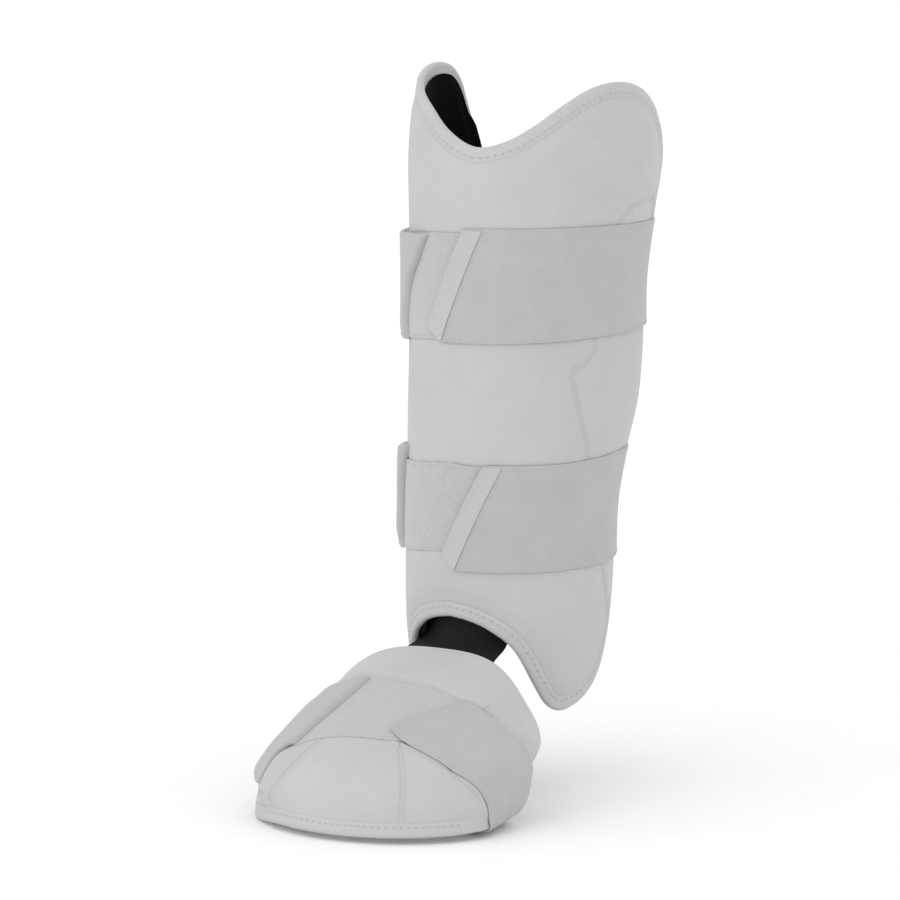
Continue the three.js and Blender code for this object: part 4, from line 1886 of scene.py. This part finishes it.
    def faces(self, angle: Array, base: Array, edge: Array, groove: Array) -> tuple[Array, Array]:
        """Offsets of the outer and inner faces.

        Args:
            angle: Angles round the guard.
            base: Grid of points on the form, from the toe edge to the rim.
            edge: Distances from the shell's edge.
            groove: Distances from the moulded toe lines.

        Returns:
            Outer and inner offsets.
        """
        y = base[..., 1]
        toe = LineField(base[:, 0]).measure(base)[0]
        rim = LineField(base[:, -1]).measure(base)[0]
        plump = ease(toe, self.hem_width - self.hem_soft, self.hem_width + self.swell)
        ahead = self.front_edge.read("y", angle) - y
        behind = y - self.rear_edge.read("y", angle)
        rise = ease(ahead, *self.lip_wall) * (1 - self.lip_fall * ease(ahead, *self.lip_slope))
        lip = self.lip_height(angle) * rise * plump
        crease = self.crease_depth * ridge(toe - self.hem_width, self.crease_width)
        mould = self.mould_depth * (1 - ease(np.abs(groove), *self.mould_wall)) * self.off_hem(toe)
        rim_crease = self.rim_crease_depth * ridge(rim - self.rim_roll, self.rim_crease_width)
        flank = self.flank_swell * ridge(angle - self.flank_angle, self.flank_width)
        outer = lip - self.hem_drop * (1 - plump) - crease - mould - rim_crease
        outer = outer + flank * ease(behind, *self.flank_slope)
        tucked = self.tucked * ease(angle, *self.tucked_from) * (1 - ease(angle, *self.tucked_until))
        from_front = 1 - ease(ahead + tucked, *self.press_front)
        covered = from_front * (1 - ease(behind, *self.press_rear))
        outer = blend(outer, self.band_seat(angle) - self.gap, covered)
        inner = -self.wall + self.hem_lift * (1 - ease(edge, *self.inner_slope))
        middle = -(self.hem_drop + self.wall - self.hem_lift) / 2
        rolled = rounded(edge, (self.wall - self.hem_lift - self.hem_drop) / 2)
        return blend(middle, outer, rolled), blend(middle, inner, rolled)

    def build_shell(self) -> Skin:
        """Adds the padded shell and returns its outer face."""
        angle, reach = self.grid()
        base = self.form.face(angle, reach)
        edge, _, _ = LineField(edge_loop(base)).measure(base)
        toe, along, _ = LineField(base[:, 0]).measure(base)
        normals = self.form.normal(angle, reach)
        fields = []
        for table in self.toe_lines:
            path = table.trace(self.line_steps)
            line = LineField(self.form.face(path["angle"], path["reach"]))
            fields.append(line.signed(base, normals))
        groove = np.where(np.abs(fields[0]) < np.abs(fields[1]), fields[0], fields[1])
        outer_offset, inner_offset = self.faces(angle, base, edge, groove)
        outer = base + outer_offset[..., None] * normals
        inner = base + inner_offset[..., None] * normals
        points, faces, source = closed_grid(outer, inner)
        maps = {
            SEAM_MAP: both_sides(along, toe, source, hidden=(0, HIDDEN_SEAM)),
            MOULD_MAP: both_sides(*fields, source, hidden=(FAR, FAR)),
            FADE_MAP: both_sides(self.hemmed(angle), self.off_hem(toe), source, hidden=(0, 0)),
        }
        piece = add_piece("foot_padding", points, faces, maps, Leather())
        stand_in("foot_shell")
        return Skin(outer, surface_normals(outer), toe)

    def band_point(self, rows: Table, angle: Array, across: Array, offset: Array) -> Array:
        """Points of a band on the guard."""
        y = blend(rows.read("toe_y", angle), rows.read("rim_y", angle), across)
        return self.form.point(angle, self.form.reach_at(angle, y), offset)

    def strap_lift(self, angle: Array) -> Array:
        """Offset of the strap's inner face."""
        first, last = self.landing_rows.ends
        past_left = ease(first - angle, *self.landing_left)
        past_right = ease(angle - last, *self.landing_right)
        over = (1 - past_left) * (1 - past_right)
        return self.band_seat(angle) + (self.landing_thickness + self.gap) * over

    def left_thick(self, angle: Array, finish: float) -> Array:
        """Thickness of the left side, doubled by the hook patch under its end and sloped down at it."""
        full = self.strap_thickness + self.fill * ease(angle, *self.fill_from)
        run = (finish - angle) * self.turn_length
        return end_slope(run / self.end_run, self.end_thickness, full)

    def build_landing(self) -> None:
        """Adds the fuzzy band across the instep."""
        width, length = self.landing_size
        columns, rows = self.landing_grid_size
        along = (edged_marks(length, columns, SoftSheet.edge_insets) / length)[:, None]
        across = (edged_marks(width, rows, SoftSheet.edge_insets) / width)[None, :]
        angle, across = np.broadcast_arrays(blend(*self.landing_rows.ends, along), across)
        offset = self.band_seat(angle) + self.landing_thickness / 2
        middle = self.band_point(self.landing_rows, angle, across, offset)
        sheet = SoftSheet(middle, self.landing_thickness)
        piece = sheet.add("foot_pile_landing", sheet.cloth(), Pile())
        stand_in("foot_landing")

    def strap_line(self, across: float) -> tuple[Array, Array]:
        """Line along one share of the strap's width: right side, sole and left side.

        Args:
            across: Share of the width, from the toe edge to the rim edge.

        Returns:
            Points of the middle surface, and the thickness at each.
        """
        side = edged_marks(1.0, self.side_columns, tuple(np.array(SoftSheet.end_insets) / self.side_length))
        start = float(self.right_end.read("angle", across))
        finish = float(self.left_end.read("angle", across))
        right_angle = blend(start, self.right_rows.ends[1] - self.sole_slant * across, side)
        left_angle = blend(self.left_rows.ends[0], finish, side)
        half = self.strap_thickness / 2
        thick = self.left_thick(left_angle, finish)
        share = np.full_like(side, across)
        right_offset = self.strap_lift(right_angle) + half
        right_side = self.band_point(self.right_rows, right_angle, share, right_offset)
        sunk = self.end_sink * (1 - ease((finish - left_angle) * self.turn_length, 0, self.end_run))
        left_offset = self.strap_lift(left_angle) + thick / 2 - sunk
        left_side = self.band_point(self.left_rows, left_angle, share, left_offset)
        right_lean = blend(-self.right_flare, self.right_tuck, across)
        sole_z = self.sole_z - half
        right_y = right_side[-1, 1] + self.right_back * (1 - across)
        right_sole = np.array([self.sole_half_width, right_y, sole_z])
        left_sole = np.array([-self.sole_half_width, left_side[0, 1], sole_z])
        parts = [
            right_side,
            self.corner(right_side[-1], right_sole, right_lean, self.right_hold),
            blend(right_sole, left_sole, np.linspace(0, 1, self.sole_columns)[1:, None]),
            self.corner(left_side[0], left_sole, -self.left_tuck, self.left_hold)[::-1],
            left_side[1:],
        ]
        points = np.concatenate(parts)
        plain = np.full(len(points) - len(thick), self.strap_thickness)
        return points, np.concatenate([plain, thick])

    def corner(self, side: Array, sole: Array, tuck: float, hold: float) -> Array:
        """Bend from the end of a side to the sole.

        Args:
            side: End of the side.
            sole: Start of the sole.
            tuck: How far the bend leans in under the guard.
            hold: How far the bend keeps to the side before it turns, as a share.

        Returns:
            Points after the end of the side, up to the sole.
        """
        below_y = blend(side[1], sole[1], self.bend_share)
        below = np.array([side[0] - tuck * self.bend_share, below_y, blend(side[2], sole[2], hold)])
        knee = np.array([blend(side[0] - tuck, sole[0], (1 - hold) / 2), sole[1], sole[2]])
        share = np.linspace(0, 1, self.corner_columns)[1:, None]
        first, middle, last = blend(side, below, share), blend(below, knee, share), blend(knee, sole, share)
        return blend(blend(first, middle, share), blend(middle, last, share), share)

    def build_strap(self) -> None:
        """Adds the strap and its stitching."""
        width, length = self.strap_size
        shares = edged_marks(width, self.strap_rows, SoftSheet.edge_insets) / width
        lines = [self.strap_line(share) for share in shares]
        middle, thick = [np.stack(parts, axis=1) for parts in zip(*lines)]
        sheet = SoftSheet(middle, thick)
        piece = sheet.add("foot_woven_strap", sheet.cloth(), Webbing())
        stand_in("foot_strap")
        thread = Stitching("foot_strap_thread")
        skin = sheet.skin()
        for edge in (Side.START, Side.LOW, Side.HIGH):
            line, normals = skin.inset_line(edge, self.stitch_inset)
            sewn = (line[:, 0] > self.sewn_right) & (line[:, 2] > self.sewn_above)
            thread.sew(self.edge_stitch, line[sewn], normals[sewn])
        tail = self.tail_line.trace(self.tail_steps)
        tail_end = self.form.point(tail["angle"], tail["reach"], tail["offset"])
        thread.sew(self.tail_stitch, tail_end, self.form.normal(tail["angle"], tail["reach"]))
        sewn = thread.add(PALE_THREAD, Slot.WEBBING)

    def build(self) -> None:
        """Adds every piece of the foot guard."""
        skin = self.build_shell()
        thread = Stitching("foot_hem_thread")
        line, normals = skin.inset_line(Side.LOW, HEM_STITCH_INSET)
        left, right = self.hem_sewn
        sewn = (line[:, 0] > left) & (line[:, 0] < right)
        thread.sew(self.hem_stitch, line[sewn], normals[sewn])
        thread.add(Thread(), Slot.LEATHER)
        self.build_landing()
        self.build_strap()


@dataclass
class AnkleElastic:
    """The black elastic that carries the foot guard."""

    bend_width: float = 29
    lean_from: Span = (6, 30)
    thickness: float = 2
    flat: Span = (61, 98)
    grid_size: tuple[int, int] = (40, 60)
    rows: Table = Table(
        ("step", "x", "half_width", "y", "z", "back", "down", "right_down"),
        (
            (0, -7.5, 29.5, -0.6, -78, 12.4, 0, 0),
            (1, -7.5, 29.5, -0.7, -96, 12.4, 0, 0),
            (2, -7.5, 29.5, -0.8, -112, 13.4, 0, 0),
            (3, -5, 30, -4, -124, 15, 2.0, 0),
            (4, -3, 30.5, -13.5, -131.2, 3, 1.8, 0.4),
            (5, -0.5, 31.5, -24, -136.5, 0.4, 2.6, 2.4),
            (6, -0.5, 31.5, -34, -144, 0, 2.6, 2.6),
        ),
    )

    def build(self) -> None:
        """Adds the elastic."""
        width, length = self.flat
        columns, rows = self.grid_size
        along = (edged_marks(width, columns, SoftSheet.edge_insets) * 2 / width - 1)[:, None]
        across = edged_marks(length, rows, SoftSheet.edge_insets) / length
        step = (self.rows.ends[1] * (1 - across))[None, :]
        y, z = self.rows.read("y", step), self.rows.read("z", step)
        up = unit(np.gradient(np.stack([y, z], -1), axis=1))
        y = y + up[..., 1] * self.thickness / 2
        z = z - up[..., 0] * self.thickness / 2
        x = self.rows.read("x", step) + along * self.rows.read("half_width", step)
        fall = (x / self.bend_width) ** 2
        back, down = self.rows.read("back", step), self.rows.read("down", step)
        lean = self.rows.read("right_down", step) * ease(x, *self.lean_from)
        middle = np.stack([x, y + fall * back, z - fall * down - lean], -1)
        sheet = SoftSheet(middle, self.thickness)
        piece = sheet.add("ankle_elastic", sheet.cloth(), Elastic())
        stand_in("ankle_connector")


@dataclass
class Studio:
    """Pale floor, soft light and the camera at the photograph's angle."""

    azimuth: float = 33
    elevation: float = 8
    distance: float = 2800
    pixels_per_mm: float = 1.8
    picture: float = 900
    sensor: float = 36
    far_clip: float = 50
    anchor: tuple[float, float, float] = (0, 63, 0)
    anchor_pixel: Span = (523, 400)
    ambient: float = 1.12
    key_azimuth: float = -10
    key_elevation: float = 4
    key_distance: float = 2.2
    key_size: float = 2.4
    key_power: float = 11.5
    floor_half: float = 40
    floor_gap: float = 0.0002

    def outward(self, azimuth: float, elevation: float) -> Vector:
        """Direction from the guard to a place round it and above it."""
        turn, rise = math.radians(azimuth), math.radians(elevation)
        level = math.cos(rise)
        return Vector((math.sin(turn) * level, -math.cos(turn) * level, math.sin(rise)))

    def axes(self) -> tuple[Vector, Vector, Vector]:
        """The camera's right, up and back directions."""
        turn = math.radians(self.azimuth)
        back = self.outward(self.azimuth, self.elevation)
        right = Vector((math.cos(turn), math.sin(turn), 0))
        return right, back.cross(right), back

    def build_camera(self) -> None:
        """Adds the camera and makes it the scene's own."""
        right, up, back = self.axes()
        half = self.picture / 2
        shift_right = (self.anchor_pixel[0] - half) / self.pixels_per_mm
        shift_up = (half - self.anchor_pixel[1]) / self.pixels_per_mm
        place = Vector(self.anchor) + back * self.distance - right * shift_right - up * shift_up
        data = bpy.data.cameras.new("photo_camera")
        data.sensor_width = self.sensor
        data.lens = self.sensor * self.distance * self.pixels_per_mm / self.picture
        data.clip_end = self.far_clip
        camera = bpy.data.objects.new("photo_camera", data)
        turned = Matrix((right, up, back)).transposed().to_4x4()
        camera.matrix_world = Matrix.Translation(place * MM) @ turned
        bpy.context.scene.collection.objects.link(camera)
        bpy.context.scene.camera = camera

    def build_floor(self) -> None:
        """Adds the floor under the lowest point."""
        low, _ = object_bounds()
        size = self.floor_half
        corners = [(-size, -size, 0), (size, -size, 0), (size, size, 0), (-size, size, 0)]
        mesh = bpy.data.meshes.new("floor")
        mesh.from_pydata(corners, [], [(0, 1, 2, 3)])
        mesh.materials.append(PaleFloor().material())
        floor = bpy.data.objects.new("floor", mesh)
        floor.location = (0, 0, low.z - self.floor_gap)
        bpy.context.scene.collection.objects.link(floor)
        floor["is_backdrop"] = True

    def build_light(self) -> None:
        """Adds a square soft light that looks at the guard."""
        data = bpy.data.lights.new("key_light", "AREA")
        data.size = self.key_size
        data.energy = self.key_power
        light = bpy.data.objects.new("key_light", data)
        back = self.outward(self.key_azimuth, self.key_elevation)
        light.location = back * self.key_distance
        light.rotation_euler = back.to_track_quat("Z", "Y").to_euler()
        bpy.context.scene.collection.objects.link(light)

    def build(self) -> None:
        """Adds the floor, the light and the camera."""
        scene = bpy.context.scene
        scene.view_settings.view_transform = "Standard"
        world = bpy.data.worlds.new("white_studio")
        world.use_nodes = True
        background = world.node_tree.nodes["Background"]
        background.inputs["Color"].default_value = grey(1.0)
        background.inputs["Strength"].default_value = self.ambient
        scene.world = world
        self.build_floor()
        self.build_light()
        self.build_camera()


def shin_straps(form: ShinForm) -> list[ShinStrap]:
    """The two straps round the shin."""
    edge_columns = ("angle", "low", "high")
    front_columns = ("share", "angle", "tape")
    upper = ShinStrap(
        form,
        name="upper",
        edges=Table(
            edge_columns,
            (
                (-20, 39, 101.5),
                (20, 39, 101.5),
                (60, 40, 101.5),
                (120, 41.5, 100.5),
                (180, 40, 100),
                (280, 36.4, 95),
                (303, 36.2, 94.8),
                (345, 37.6, 97),
            ),
        ),
        front_end=Table(front_columns, ((0, -7.5, -7), (0.13, -17, -4.6), (1, 4, 14.2))),
        back_end=Table(
            ("share", "angle"),
            ((0, -41), (0.2, -42.5), (0.38, -40.5), (0.55, -36.5), (0.75, -28), (1, -19)),
        ),
        landing=Table(edge_columns, ((-82, 37, 95), (-40, 37.8, 95.5), (-10, 40, 98.5), (58, 41.5, 99.5))),
        patch_line=Table(("z", "angle"), ((43, 48), (56, 50), (72, 52.3), (91, 54.7), (97, 55.4))),
        length=418,
    )
    lower = ShinStrap(
        form,
        name="lower",
        edges=Table(
            edge_columns,
            (
                (-10, -86, -26.4),
                (28, -86, -27),
                (60, -86, -27.2),
                (84, -85.6, -26),
                (107, -85, -24.8),
                (180, -82, -24.8),
                (280, -80, -24.5),
                (303, -79.6, -23),
                (332, -79.6, -18.6),
            ),
        ),
        front_end=Table(front_columns, ((0, 2.3, 2.8), (0.156, -5.7, 6.8), (1, 18.2, 28.6))),
        back_end=Table(
            ("share", "angle"),
            ((0, -47.5), (0.15, -50), (0.31, -52.5), (0.61, -49), (1, -42.5)),
        ),
        landing=Table(
            edge_columns,
            ((-82, -79.4, -30), (-40, -78.8, -29.5), (-4, -76, -26.6), (12, -78, -27.6), (58, -83, -29.5)),
        ),
        patch_line=Table(("z", "angle"), ((-80, 56), (-66, 58), (-50, 62), (-36, 64), (-29, 64.5))),
        fill=2.9,
        taper=(-2, 13),
        low_fill=0.15,
        length=342,
    )
    return [upper, lower]


def main() -> None:
    logging.basicConfig(level=logging.INFO, format="%(message)s")
    form = ShinForm()
    straps = shin_straps(form)
    ShinGuard(form, straps).build()
    for strap in straps:
        strap.build()
    AnkleElastic().build()
    FootGuard(FootForm()).build()
    Studio().build()


if __name__ == "__main__":
    main()
